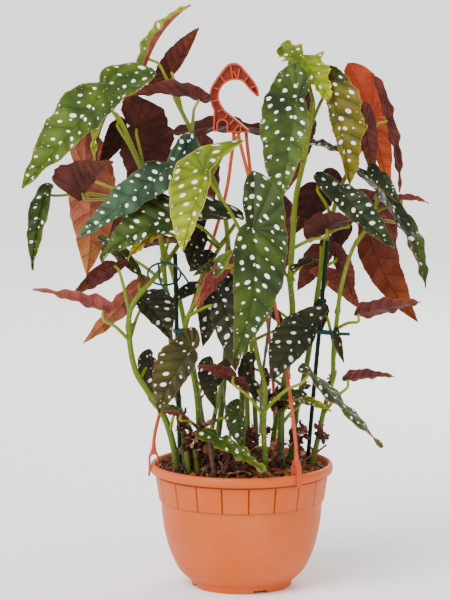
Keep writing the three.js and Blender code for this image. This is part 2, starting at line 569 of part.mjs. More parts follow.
// Hanger hook: a flat moulding, face-on to the front. Points are across and up from the eye's centre.

const hook = {
  point: [22, 0],
  front: [[21, 6.5], [16.5, 14.5], [9.5, 23]],
  back: [[4, 29], [-2.5, 30.5], [-7, 29], [-14, 21], [-19.5, 13], [-23, 6.5], [-23.5, -1.5], [-22, -8.5],
    [-20, -13], [-20.5, -32.5], [-16, -32.5], [-16, -26]],
  notch: { centre: [-12, -26], radius: 4 },
  foot: [[-8, -33.5], [12.5, -33.5], [12.5, -31], [0, -20.5], [-9.5, -13]],
  eye: { radius: 15, from: 213, to: 63 },
  underside: [[13, 6], [19.3, 0]],
};
// Ribs across the arm, in degrees round the eye, with a pocket in each face between two of them
const ribs = [222, 192, 159, 128, 101, 84, 58];
const pocket = { across: 4, deep: 1.3, rib: 2 };

function makeHook() {
  const outline = new THREE.Shape();
  const through = (points) => points.forEach(([x, z]) => outline.lineTo(x, z));
  outline.moveTo(...hook.point);
  outline.splineThru(hook.front.map(([x, z]) => new THREE.Vector2(x, z)));
  through(hook.back);
  outline.absarc(...hook.notch.centre, hook.notch.radius, Math.PI, 0, true);
  through(hook.foot);
  outline.absarc(0, 0, hook.eye.radius, turn(hook.eye.from), turn(hook.eye.to), true);
  through(hook.underside);
  const extrude = { depth: hookDepth, bevelEnabled: false, curveSegments: 5 };
  const plate = new THREE.ExtrudeGeometry(outline, extrude);
  plate.rotateX(Math.PI / 2);
  plate.translate(0, hookDepth / 2, 0);
  const pockets = ribs.slice(1).flatMap((next, i) => {
    const angle = (ribs[i] + next) / 2;
    const reach = hook.eye.radius + 4.6 + Math.max(0, 5 - Math.abs(angle - 100) / 8); // the arm's middle
    const length = 2 * reach * Math.sin(turn(ribs[i] - next) / 2) - pocket.rib;
    return [-1, 1].map((face) => {
      const space = new THREE.BoxGeometry(pocket.across, 2 * pocket.deep, length);
      space.translate(reach, (face * hookDepth) / 2, 0);
      return solid(space.rotateY(-turn(angle)));
    });
  });
  return geometryOf(cut(solid(plate), ...pockets)).translate(...eye);
}

addPart('hanger_hook', makeHook(), 'hanger');

// Hanger strands: each runs down and out to a clip that straddles the rim

const hookFoot = eye.z + hook.foot[0][1] - gap;
const strands = {
  left: { turn: -83, path: [[-7.5, 0, hookFoot], [-7.5, 0, hookFoot - 5], [-10, -1, 398], [-15, -3, 366],
    [-50, -8, 250]] },
  front: { turn: 37, path: [[-3, -2, hookFoot], [-2.5, -2, hookFoot - 5], [9, -12, 372], [29, -38, 275],
    [41, -54, 208]] },
  back: { turn: 157, path: [[4, 2, hookFoot], [4.3, 2, hookFoot - 5], [10, 14, 369], [21, 42, 270],
    [29, 62, 200]] },
};

// The clip stands over the rim as an arch, with a long leg outside and a short one inside.
function makeStrand(strand) {
  const outer = rimRadius + gap;
  const inner = rimRadius - rimWidth - gap - 0.3;
  const middle = (outer + inner) / 2;
  const archZ = potHeight + clip.arch;
  const shoulderZ = archZ + clip.shoulder;
  const crownZ = archZ + (outer - inner) / 2 + clip.crown;
  const t = clip.thickness;
  const profile = new THREE.Shape([
    [outer, potHeight - clip.outerLeg], [outer + t, potHeight - clip.outerLeg], [outer + t, shoulderZ],
    [middle + clip.neck, crownZ], [middle - clip.neck, crownZ], [inner - t, shoulderZ],
    [inner - t, potHeight - clip.innerLeg], [inner, potHeight - clip.innerLeg],
  ].map(([radius, z]) => new THREE.Vector2(radius, z)));
  profile.absarc(middle, archZ, (outer - inner) / 2, Math.PI, 0, true);
  const extrude = { depth: clip.width, bevelEnabled: false, curveSegments: 5 };
  const arch = new THREE.ExtrudeGeometry(profile, extrude);
  arch.rotateX(Math.PI / 2);
  arch.translate(0, clip.width / 2, 0);
  arch.rotateZ(turn(strand.turn - 90));
  const end = [around(strand.turn, middle - 1, crownZ + 14), around(strand.turn, middle, crownZ - 2)];
  return geometryOf(join(solid(arch), solid(rod([...strand.path.map(vec), ...end], strandRadius, 5, 11))));
}

for (const [name, strand] of Object.entries(strands)) {
  addPart(`hanger_strand_${name}`, makeStrand(strand), 'hanger');
}

// Plant ties: a wire ring, and two flat strips that each hold a cane to a stake

function wireTie(centre, radius, tilt, tails) {
  const ring = new THREE.TorusGeometry(radius, wireRadius, 4, 11);
  ring.rotateX(turn(tilt));
  ring.translate(...centre);
  return geometryOf(join(solid(ring), ...tails.map((tail) => solid(rod(tail.map(vec), wireRadius, 4, 2)))));
}

// The line round two posts, each its x, y and radius, at a distance outside them.
function lineRound(posts, outside) {
  const [[x1, y1, r1], [x2, y2, r2]] = posts;
  const run = Math.atan2(y2 - y1, x2 - x1);
  const lean = Math.acos((r1 - r2) / Math.hypot(x2 - x1, y2 - y1));
  const arc = (x, y, radius, from, to) => Array.from({ length: 5 }, (unused, i) => {
    const a = from + ((to - from) * i) / 4;
    return new THREE.Vector2(x + (radius + outside) * Math.cos(a), y + (radius + outside) * Math.sin(a));
  });
  return [
    ...arc(x1, y1, r1, run + lean, run + 2 * Math.PI - lean), ...arc(x2, y2, r2, run - lean, run + lean),
  ];
}

function stripTie(posts, z, tail) {
  const extrude = { depth: strip.height, bevelEnabled: false };
  const outline = new THREE.Shape(lineRound(posts, strip.slack + strip.thickness));
  outline.holes.push(new THREE.Path(lineRound(posts, strip.slack)));
  const loop = new THREE.ExtrudeGeometry(outline, extrude).translate(0, 0, z - strip.height / 2);
  const end = new THREE.BoxGeometry(tail.length, strip.thickness, strip.height - 0.4);
  end.translate(tail.length / 2, 0, 0).rotateZ(turn(tail.turn)).translate(...tail.from, z);
  return geometryOf(join(solid(loop), solid(end)));
}

addPart('tie_wire', wireTie([-71, -39, 297.5], 15, -50, [
  [[-60, -45.5, 305.5], [-53, -50, 297.5], [-49, -51, 291.5]],
  [[-76, -47.8, 308.5], [-74, -52, 291.5], [-67, -51, 280.5]],
]), 'tie');
addPart('tie_low', stripTie([[-59.7, -38, 2], [-47.8, -35, 2.2]], 245,
  { from: [-49, -38.6], turn: -20, length: 9 }), 'tie');
addPart('tie_right', stripTie([[71.8, 2.6, 2], [86.8, -7.1, 2.1]], 238,
  { from: [86, -10.6], turn: -8, length: 14 }), 'tie');

export default group;
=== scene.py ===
import math
import random

import bpy
import numpy as np
from mathutils import Matrix, Vector


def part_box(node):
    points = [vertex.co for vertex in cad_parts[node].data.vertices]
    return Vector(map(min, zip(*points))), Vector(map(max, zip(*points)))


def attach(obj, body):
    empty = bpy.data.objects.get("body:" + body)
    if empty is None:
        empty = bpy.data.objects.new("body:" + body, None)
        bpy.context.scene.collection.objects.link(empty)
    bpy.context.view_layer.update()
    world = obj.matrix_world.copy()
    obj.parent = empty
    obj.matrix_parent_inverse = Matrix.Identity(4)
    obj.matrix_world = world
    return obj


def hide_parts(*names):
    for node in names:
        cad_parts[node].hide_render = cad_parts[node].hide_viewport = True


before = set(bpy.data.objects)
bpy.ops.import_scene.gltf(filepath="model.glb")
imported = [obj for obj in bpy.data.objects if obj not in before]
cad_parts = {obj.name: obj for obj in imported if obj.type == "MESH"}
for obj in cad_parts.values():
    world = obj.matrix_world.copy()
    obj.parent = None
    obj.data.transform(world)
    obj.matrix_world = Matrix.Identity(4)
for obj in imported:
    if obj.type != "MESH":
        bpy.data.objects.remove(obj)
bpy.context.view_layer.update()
mm = 0.001

# View and light

view = {
    "at": (-15.5, -3000, 687),  # mm; the photograph was taken from far off with a long lens
    "pitchDown": 7.95,  # degrees
    "lens": 196.4,
    "sensor": 36,
    "far": 100,  # m, how far the camera sees
}
light = {
    "world": 1.05,
    "level": 2.2,  # what a white card in this light measures
    "sun": {"from": (-0.8, -1.0, 1.2), "strength": 3.8, "spread": 40, "color": (1.0, 0.985, 0.96)},
    "fill": {"at": (1.8, -2.2, 0.7), "size": 1.2, "watts": 14, "color": (1.0, 1.0, 1.0)},
    "back": {"at": (0.7, 1.6, 1.2), "size": 0.9, "watts": 22, "color": (1.0, 0.97, 0.92)},
    "middle": (0, 0, 0.28),  # of the plant, which the lamps face
}


def put(name, data):
    thing = bpy.data.objects.new(name, data)
    bpy.context.scene.collection.objects.link(thing)
    return thing


def aim(thing, target):
    direction = Vector(target) - thing.location
    thing.rotation_euler = direction.to_track_quat("-Z", "Y").to_euler()


def makeCamera():
    camera = put("camera", bpy.data.cameras.new("camera"))
    camera.location = Vector(view["at"]) * mm
    camera.rotation_euler = (math.radians(90 - view["pitchDown"]), 0, 0)
    camera.data.lens = view["lens"]
    camera.data.sensor_width = view["sensor"]
    camera.data.clip_end = view["far"]
    bpy.context.scene.camera = camera


def makeLights():
    spec = light["sun"]
    sun = put("sun", bpy.data.lights.new("sun", "SUN"))
    sun.location = spec["from"]
    sun.data.energy = spec["strength"]
    sun.data.angle = math.radians(spec["spread"])
    sun.data.color = spec["color"]
    aim(sun, (0, 0, 0))
    for name in ("fill", "back"):
        spec = light[name]
        lamp = put(name, bpy.data.lights.new(name, "AREA"))
        lamp.location = spec["at"]
        lamp.data.size = spec["size"]
        lamp.data.energy = spec["watts"]
        lamp.data.color = spec["color"]
        aim(lamp, light["middle"])
    world = bpy.data.worlds.new("studio")
    world.use_nodes = True
    sky = world.node_tree.nodes["Background"].inputs
    sky["Color"].default_value = (1, 1, 1, 1)
    sky["Strength"].default_value = light["world"]
    bpy.context.scene.world = world


makeCamera()
makeLights()
print("view and lights set")

# Colours: 0-255 as seen in the photograph. The render's view transform pulls bright and strong
# colours in, so they are pushed out first

outward = {"luminance": (0.21, 0.72, 0.07), "strong": 1.35, "bright": 1.2, "gain": 1.1, "range": (0.001, 0.9)}


def decoded(c):
    # the sRGB curve, undone
    return c / 12.92 if c <= 0.04045 else ((c + 0.055) / 1.055) ** 2.4


def linear(color):
    # the base colour that looks so in this light
    parts = [decoded(c / 255) for c in color]
    grey = sum(c * share for c, share in zip(parts, outward["luminance"]))
    lift = 1 / (1 - grey * grey) ** outward["bright"]
    parts = [(grey + (c - grey) * outward["strong"]) * lift * outward["gain"] / light["level"] for c in parts]
    low, high = outward["range"]
    return tuple(min(high, max(low, c)) for c in parts) + (1.0,)


def dimmed(color, by):
    # the same base colour with less light in it
    return tuple(c * by for c in linear(color)[:3]) + (1.0,)


def shifted(color, by, plus=0):
    # lighter or darker as seen
    return linear(tuple(c * by + plus for c in color))


# Shader maths

def plug(tree, value, socket):
    if isinstance(value, Value):
        tree.links.new(value.socket, socket)
    else:
        socket.default_value = value


class Value:
    # a socket's output; arithmetic on it adds Math nodes
    def __init__(self, tree, socket):
        self.tree = tree
        self.socket = socket

    def math(self, operation, *terms, clamp=False):
        node = self.tree.nodes.new("ShaderNodeMath")
        node.operation = operation
        node.use_clamp = clamp
        for term, socket in zip(terms, node.inputs):
            plug(self.tree, term, socket)
        return Value(self.tree, node.outputs[0])

    def __add__(self, other):
        return self.math("ADD", self, other)

    def __sub__(self, other):
        return self.math("SUBTRACT", self, other)

    def __rsub__(self, other):
        return self.math("SUBTRACT", other, self)

    def __mul__(self, other):
        return self.math("MULTIPLY", self, other)

    def __truediv__(self, other):
        return self.math("DIVIDE", self, other)

    def __pow__(self, other):
        return self.math("POWER", self, other)

    __radd__ = __add__
    __rmul__ = __mul__

    def clamped(self):
        return self.math("ADD", self, 0.0, clamp=True)

    def rise(self, start, slope):
        # 0 up to the start, then rising to 1
        return ((self - start) * slope).clamped()

    def capped(self, most):
        return self.math("MINIMUM", self, most)

    def wave(self):
        # distance from the nearest whole number, 0 to 0.5
        return self.math("PINGPONG", self, 0.5)

    def size(self):
        return self.math("ABSOLUTE", self)

    def over(self, other):
        # 1 where it is more than the other, else 0
        return self.math("GREATER_THAN", self, other)


class Finish:
    # one material: its nodes, and the shader they feed
    def __init__(self, name):
        self.material = bpy.data.materials.new(name)
        self.material.use_nodes = True
        self.tree = self.material.node_tree
        self.shader = self.tree.nodes["Principled BSDF"]

    def node(self, kind, settings=None, sockets=None, out=0):
        made = self.tree.nodes.new(kind)
        for key, setting in (settings or {}).items():
            setattr(made, key, setting)
        for key, value in (sockets or {}).items():
            plug(self.tree, value, made.inputs[key])
        return Value(self.tree, made.outputs[out])

    def mix(self, share, first, second):
        return self.node("ShaderNodeMix", {"data_type": "RGBA"}, {0: share, 6: first, 7: second}, out=2)

    def attribute(self, name):
        return self.node("ShaderNodeAttribute", {"attribute_name": name}, out=1)

    def place(self):
        # the point on the object, in metres
        return self.node("ShaderNodeTexCoord", out=3)

    def parts(self, vector):
        first = self.node("ShaderNodeSeparateXYZ", sockets={"Vector": vector})
        return [Value(self.tree, output) for output in first.socket.node.outputs]

    def noise(self, scale, detail=3.0, vector=None):
        return self.node("ShaderNodeTexNoise", {"noise_dimensions": "3D"}, {
            "Vector": vector or self.place(), "Scale": scale, "Detail": detail, "Roughness": 0.55})

    def cells(self, scale, vector, flat=True, out=0, jitter=1.0, feature="F1"):
        # distance to the nearest of many scattered points, or that point's random colour
        settings = {"voronoi_dimensions": "2D" if flat else "3D", "feature": feature}
        sockets = {"Vector": vector, "Scale": scale, "Randomness": jitter}
        return self.node("ShaderNodeTexVoronoi", settings, sockets, out)

    def bump(self, height, strength, distance):
        sockets = {"Height": height, "Strength": strength, "Distance": distance}
        return self.node("ShaderNodeBump", sockets=sockets)

    def feed(self, **sockets):
        names = {"color": "Base Color", "roughness": "Roughness", "normal": "Normal",
                 "specular": "Specular IOR Level"}
        for key, value in sockets.items():
            plug(self.tree, value, self.shader.inputs[names[key]])
        return self.material


# Meshes

def smoothPath(points, step):
    # centripetal Catmull-Rom through the points, about one sample each step (metres)
    p = [np.array(q, float) for q in points]
    p = [2 * p[0] - p[1], *p, 2 * p[-1] - p[-2]]
    path = []
    for i in range(1, len(p) - 2):
        a, b, c, d = p[i - 1:i + 3]
        t0 = 0.0
        t1 = t0 + np.linalg.norm(b - a) ** 0.5
        t2 = t1 + np.linalg.norm(c - b) ** 0.5
        t3 = t2 + np.linalg.norm(d - c) ** 0.5
        count = max(2, int(np.linalg.norm(c - b) / step))
        for t in np.linspace(t1, t2, count, endpoint=i == len(p) - 3):
            ab = (t1 - t) / (t1 - t0) * a + (t - t0) / (t1 - t0) * b
            bc = (t2 - t) / (t2 - t1) * b + (t - t1) / (t2 - t1) * c
            cd = (t3 - t) / (t3 - t2) * c + (t - t2) / (t3 - t2) * d
            abc = (t2 - t) / (t2 - t0) * ab + (t - t0) / (t2 - t0) * bc
            bcd = (t3 - t) / (t3 - t1) * bc + (t - t1) / (t3 - t1) * cd
            path.append((t2 - t) / (t2 - t1) * abc + (t - t1) / (t2 - t1) * bcd)
    return np.array(path)


def shareRun(path):
    # how far along the path each of its points lies, 0 to 1
    run = np.concatenate([[0], np.cumsum(np.linalg.norm(np.diff(path, axis=0), axis=1))])
    return run / run[-1]


def turn(degrees, axis):
    return Matrix.Rotation(math.radians(degrees), 4, axis)


def arc(cx, cy, r, start, end, steps):
    return [(cx + r * math.cos(math.radians(a)), cy + r * math.sin(math.radians(a)))
            for a in np.linspace(start, end, steps)]


def around(degrees, radius, z):
    # 0 degrees is the front, 90 the right side
    a = math.radians(degrees)
    return radius * math.sin(a), -radius * math.cos(a), z


class Shape:
    # gathers points, faces, a material number for each face, and point attributes
    def __init__(self):
        self.points = []
        self.faces = []
        self.looks = []
        self.notes = {}

    def add(self, points, faces, look=0, **notes):
        start = len(self.points)
        self.points += [tuple(p) for p in points]
        self.faces += [tuple(start + i for i in face) for face in faces]
        self.looks += [look] * len(faces) if isinstance(look, int) else list(look)
        for name, values in notes.items():
            held = self.notes.setdefault(name, [])
            held += [(0.0, 0.0, 0.0)] * (start - len(held))
            held += [tuple(v) for v in values]
        return self

    def tube(self, path, radius, sides=12, look=0, flat=1.0, broad=(1.0, 0.0, 0.0)):
        # radius is a number or a function of the distance run (0 to 1); flat squashes the section,
        # which stays wide along broad
        path = np.asarray(path)
        run = shareRun(path)
        side = np.array(broad, float)
        rings, notes = [], []
        for i, centre in enumerate(path):
            along = path[min(i + 1, len(path) - 1)] - path[max(i - 1, 0)]
            along = along / np.linalg.norm(along)
            if abs(side @ along) > 0.95:
                side = np.array([0.0, 1.0, 0.0])
            side = side - along * (side @ along)
            side = side / np.linalg.norm(side)
            third = np.cross(along, side)
            r = radius(run[i]) if callable(radius) else radius
            for k in range(sides):
                a = 2 * math.pi * k / sides
                rings.append(centre + side * r * math.cos(a) + third * r * flat * math.sin(a))
                notes.append((run[i], 0, 0))
        faces = []
        for i in range(len(path) - 1):
            for k in range(sides):
                a, b = i * sides + k, i * sides + (k + 1) % sides
                faces.append((a, b, b + sides, a + sides))
        last = (len(path) - 1) * sides
        faces.append(tuple(reversed(range(sides))))
        faces.append(tuple(range(last, last + sides)))
        return self.add(rings, faces, look, along=notes)

    def lathe(self, profile, turns, push):
        # profile is a closed run of (radius, z), turned to each angle; push moves a point outwards by
        # its angle and place
        points = []
        for a in turns:
            for r, z in profile:
                out = r + push(a, r, z)
                points.append((out * math.sin(a), -out * math.cos(a), z))
        count = len(profile)
        faces = []
        for i in range(len(turns)):
            j = (i + 1) % len(turns)
            for k in range(count - 1):
                faces.append((i * count + k, j * count + k, j * count + k + 1, i * count + k + 1))
        return self.add(points, faces)

    def block(self, size, matrix, look=0):
        corners = [Vector((x * size[0], y * size[1], z * size[2]))
                   for x in (-0.5, 0.5) for y in (-0.5, 0.5) for z in (-0.5, 0.5)]
        faces = [(0, 1, 3, 2), (4, 6, 7, 5), (0, 4, 5, 1), (2, 3, 7, 6), (0, 2, 6, 4), (1, 5, 7, 3)]
        return self.add([matrix @ c for c in corners], faces, look)

    def slab(self, outline, depth, matrix, look=0):
        # a flat outline (x, y) drawn out along z, half each way
        count = len(outline)
        points = [matrix @ Vector((x, y, z)) for z in (-depth / 2, depth / 2) for x, y in outline]
        faces = [tuple(reversed(range(count))), tuple(range(count, 2 * count))]
        faces += [(i, (i + 1) % count, (i + 1) % count + count, i + count) for i in range(count)]
        return self.add(points, faces, look)

    def mesh(self, name):
        made = bpy.data.meshes.new(name)
        made.from_pydata(self.points, [], self.faces)
        return made

    def piece(self, name, materials, slot, node=None, sharp=40):
        mesh = self.mesh(name)
        for material in materials:
            mesh.materials.append(material)
        mesh.polygons.foreach_set("material_index", self.looks)
        mesh.polygons.foreach_set("use_smooth", [True] * len(self.faces))
        for key, values in self.notes.items():
            values = values + [(0.0, 0.0, 0.0)] * (len(self.points) - len(values))
            layer = mesh.attributes.new(key, "FLOAT_VECTOR", "POINT")
            layer.data.foreach_set("vector", np.array(values, np.float32).ravel())
        mesh.update()
        mesh.set_sharp_from_angle(angle=math.radians(sharp))
        made = put(name, mesh)
        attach(made, "root")
        if node:
            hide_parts(node)
        return made


def carve(piece, cutter):
    # cuts the shape out of the piece, and keeps the result as its mesh
    knife = put("cutter", cutter.mesh("cutter"))
    boolean = piece.modifiers.new("carve", "BOOLEAN")
    boolean.object = knife
    boolean.solver = "EXACT"
    shape = bpy.data.meshes.new_from_object(piece.evaluated_get(bpy.context.evaluated_depsgraph_get()))
    piece.modifiers.clear()
    piece.data = shape
    bpy.data.objects.remove(knife)


# Pot, in metres

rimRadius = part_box("pot")[1].x
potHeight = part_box("pot")[1].z

pot = {
    "color": (234, 126, 86),
    "dust": (240, 182, 152),
    "dusty": 0.2,
    "rough": 0.52,
    "tiles": 20,
    "tileTop": 0.105,
    "tileBottom": 0.082,
    "tileRadius": 0.0772,  # at the bottom
    "tileFlare": 0.0033,  # more at the top
    "groove": 0.0009,  # half width
    "grooveDepth": 0.0018,
    "grooveTurn": 4.5,  # degrees
    "wall": 0.0022,
    "floor": 0.003,
    "rim": 0.009,  # height
    "notches": 4,
    "notchTurn": 22,  # degrees
    "notchWidth": 0.017,
    "notchHeight": 0.003,
    "notchAt": 0.0445,  # from the pot's axis
    "notchDepth": 0.012,  # through the foot ring
    # outlines as (radius, height)
    "foot": [(0.0002, 0.003), (0.038, 0.003), (0.0405, 0.0022), (0.0415, 0.0004), (0.0422, 0.0),
             (0.0455, 0.0), (0.0462, 0.0006), (0.0468, 0.003), (0.048, 0.0068), (0.0484, 0.0073),
             (0.0497, 0.0074), (0.0503, 0.0078)],
    "bowl": [(0.0503, 0.0078), (0.058, 0.015), (0.0642, 0.0265), (0.0682, 0.037), (0.0715, 0.050),
             (0.0738, 0.064), (0.0751, 0.0795)],
    # the rim's rounded corners: in from its radius, and up from its foot or down from its top
    "rimFoot": [(0.0022, 0), (0.001, 0.0004), (0.0002, 0.0014), (0, 0.003)],
    "rimTop": [(0, 0.004), (0.0005, 0.0016), (0.0016, 0.0004), (0.0028, 0), (0.0038, 0.0006),
               (0.0047, 0.0024)],
}


def potPaintedShade(look):
    # painted shade: darker in the grooves between the tiles, under their band and under the rim
    x, y, z = look.parts(look.place())
    step = 2 * math.pi / pot["tiles"]
    turned = (x.math("ARCTAN2", x, 0 - y) - math.radians(pot["grooveTurn"])) / step
    inGroove = (1 - turned.wave() * step * rimRadius / pot["groove"]).clamped()
    inGroove = inGroove * z.over(pot["tileBottom"]) * (1 - z.over(pot["tileTop"]))
    underBand = (1 - (z - pot["tileBottom"] + 0.0006).size() / 0.0009).clamped()
    underRim = (1 - (z - pot["tileTop"] - 0.0012).size() / 0.0012).clamped()
    return (inGroove + underBand + underRim).clamped() * 0.55


def potPlastic(name, color, rough, dusty, shadedGrooves=False):
    look = Finish(name)
    cloud = look.noise(9, 4)
    grain = look.noise(900, 2)
    streak = look.noise(60, 5)
    tone = look.mix((cloud - 0.35) * 1.6, dimmed(color, 0.86), linear(color))
    dust = look.noise(22, 4).rise(0.42, 3) * look.noise(700, 4).rise(0.4, 4)
    tone = look.mix(dust * dusty, tone, linear(pot["dust"]))
    if shadedGrooves:
        # painted shade: the pot's colour, much darker, in the grooves and under the band and rim
        tone = look.mix(potPaintedShade(look), tone, dimmed(color, 0.35))
    return look.feed(color=tone, roughness=rough + (streak - 0.5) * 0.18,
                     normal=look.bump(grain + cloud * 0.6, 0.16, 0.0006), specular=0.3)


def potOutline():
    # up the outside, over the rim and down the inside
    rimFootZ = potHeight - pot["rim"]
    low, top = pot["tileBottom"], pot["tileTop"]
    wall, floorZ = pot["wall"], pot["floor"] + pot["wall"]
    radius, flare = pot["tileRadius"], pot["tileFlare"]
    bowl = smoothPath([(x, z, 0) for x, z in pot["bowl"]], 0.003)
    outline = pot["foot"] + [(x, z) for x, z, _ in bowl[1:]]
    outline += [(0.0754, low - 0.0012), (0.0765, low - 0.0008), (0.0770, low), (radius, low + 0.0008)]
    outline += [(radius + flare * k, low + 0.0008 + (top - low - 0.001) * k) for k in (0.25, 0.5, 0.75, 0.96)]
    outline += [(0.0803, top), (0.0795, top + 0.0006), (0.0793, rimFootZ - 0.0002), (0.0812, rimFootZ)]
    outline += [(rimRadius - inward, rimFootZ + up) for inward, up in pot["rimFoot"]]
    outline += [(rimRadius - inward, potHeight - down) for inward, down in pot["rimTop"]]
    return outline + [(rimRadius - 0.0052, 0.1095), (0.078, 0.109), (0.077, 0.106), (0.072 - wall, 0.052),
                      (0.058 - wall, 0.016), (0.047, floorZ), (0.0002, floorZ)]


def makePot():
    low, top = pot["tileBottom"], pot["tileTop"]
    first = math.radians(pot["grooveTurn"])

    def groove(a, r, z):
        if not (low <= z < top + 0.0001 and r > pot["tileRadius"] - 0.0004):
            return 0
        step = 2 * math.pi / pot["tiles"]
        off = (a - first + step / 2) % step - step / 2
        return -pot["grooveDepth"] * max(0.0, 1 - (abs(off) * r / pot["groove"]) ** 2)

    tile = 360 / pot["tiles"]
    beside = (0.3, 0.65, 0.7)  # degrees from a groove's middle, across its wall
    offsets = [0, *beside, *np.linspace(1.7, tile - 1.7, 15), *(tile - off for off in beside[::-1])]
    turns = [math.radians(pot["grooveTurn"] + tile * i + off) for i in range(pot["tiles"]) for off in offsets]
    look = potPlastic("pot plastic", pot["color"], pot["rough"], pot["dusty"], True)
    made = Shape().lathe(potOutline(), turns, groove).piece("pot_body", [look], "pot", "pot", 32)
    half, height = pot["notchWidth"] / 2, pot["notchHeight"]
    outline = [(-half, -0.001), (half, -0.001), (half - 0.002, height), (0.002 - half, height)]
    cutter = Shape()
    for i in range(pot["notches"]):
        spot = turn(pot["notchTurn"] + 360 * i / pot["notches"], "Z")
        spot = spot @ Matrix.Translation((0, -pot["notchAt"], 0)) @ turn(90, "X")
        cutter.slab(outline, pot["notchDepth"], spot)
    carve(made, cutter)


makePot()
print("pot made")

# Canes: each one's points (mm), thickness and joints, as the solids have them

soilZ = 0.109
standZ = soilZ - 0.027  # the feet of the canes, stakes and stubs
canes = {
    "a": (3.4, (0.35, 0.62, 0.85), [(-59, -28, 121), (-70, -38, 162), (-86, -42, 189), (-97, -44, 208),
          (-103, -45, 242), (-101, -42, 267), (-78, -36, 296), (-60, -30, 320), (-49, -22, 339)]),
    "b": (3.0, (0.3, 0.6, 0.8), [(-52, 2, 119), (-59, 6, 173), (-68, 10, 248), (-75, 14, 322),
          (-83, 16, 359), (-93, 16, 392)]),
    "c": (3.2, (0.3, 0.6, 0.85), [(-25, 25, 119), (-18, 28, 169), (-13, 28, 264), (-15, 26, 340),
          (-29, 24, 384), (-52, 20, 434), (-62, 18, 454)]),
    "d": (3.0, (0.5, 0.75, 0.92), [(-39, -22, 124), (-41, -28, 179), (-49, -34, 227), (-51, -36, 253),
          (-43, -36, 270), (-34, -34, 297), (-17, -32, 326), (-5, -30, 344)]),
    "e": (2.8, (0.18, 0.45, 0.8), [(22, -38, 127), (20, -42, 154), (21, -48, 194), (15, -52, 220),
          (10, -54, 248), (8, -58, 285), (9, -62, 322)]),
    "f": (3.5, (0.3, 0.55, 0.7, 0.85), [(37, -8, 124), (37, -6, 167), (43, -4, 212), (47, 0, 258),
          (45, 0, 287), (47, 0, 324), (50, -2, 366), (56, -6, 394), (61, -10, 424), (65, -14, 454)]),
    "g": (3.1, (0.2, 0.5, 0.75), [(46, 24, 121), (52, 24, 163), (60, 22, 199), (67, 20, 246),
          (75, 22, 301), (82, 25, 335), (93, 28, 372), (106, 30, 397), (117, 32, 416)]),
    "h": (2.7, (0.15, 0.4, 0.62, 0.85), [(66, 0, 119), (72, -2, 143), (77, -4, 168), (84, -6, 194),
          (85, -6, 222), (88, -8, 252), (92, -8, 283), (103, -6, 318), (116, -2, 337), (126, 2, 361)]),
    "i": (3.2, (0.35, 0.7), [(-1, 50, 118), (4, 62, 212), (19, 68, 287), (25, 72, 344)]),
    "j": (3.2, (0.3, 0.65), [(-33, 46, 118), (-49, 62, 212), (-69, 72, 296), (-96, 76, 353)]),
}


def canePath(letter):
    points = canes[letter][2]
    x, y = points[0][0] * mm, points[0][1] * mm
    buried = [(x, y, standZ), (x, y, soilZ - 0.012), (x, y, soilZ + 0.003)]
    return smoothPath([*buried, *(np.array(points[1:]) * mm)], 0.0025)


canePaths = {letter: canePath(letter) for letter in canes}

# Leaves: name, cane, height of the stalk's foot on it, junction, tip, the way the green side faces
# (mm), green side, red side, slot, and what differs from the usual

leafUsual = {
    "hand": 1,  # +1: the broad half is clockwise of the tip's direction, seen from the green side
    "broad": 0.27,  # half widths, in leaf lengths
    "narrow": 0.17,
    "peak": 0.6,  # less moves the broad half's widest place towards the lobe
    "lobe": 0.44,
    "inner": 0.08,  # the lobe's width on the notch side
    "veer": 0.0,  # how far the lobe's end swings to the broad side
    "sway": 0.05,  # how far the midrib bends to the broad side
    "frill": 1.0,  # how wavy and toothed its margin is
    "bow": 0.07,  # of the midrib, towards the green side
    "fold": 0.22,  # how far the halves rise towards the green side
    "rise": 0.06,  # of the stalk above a straight line
}

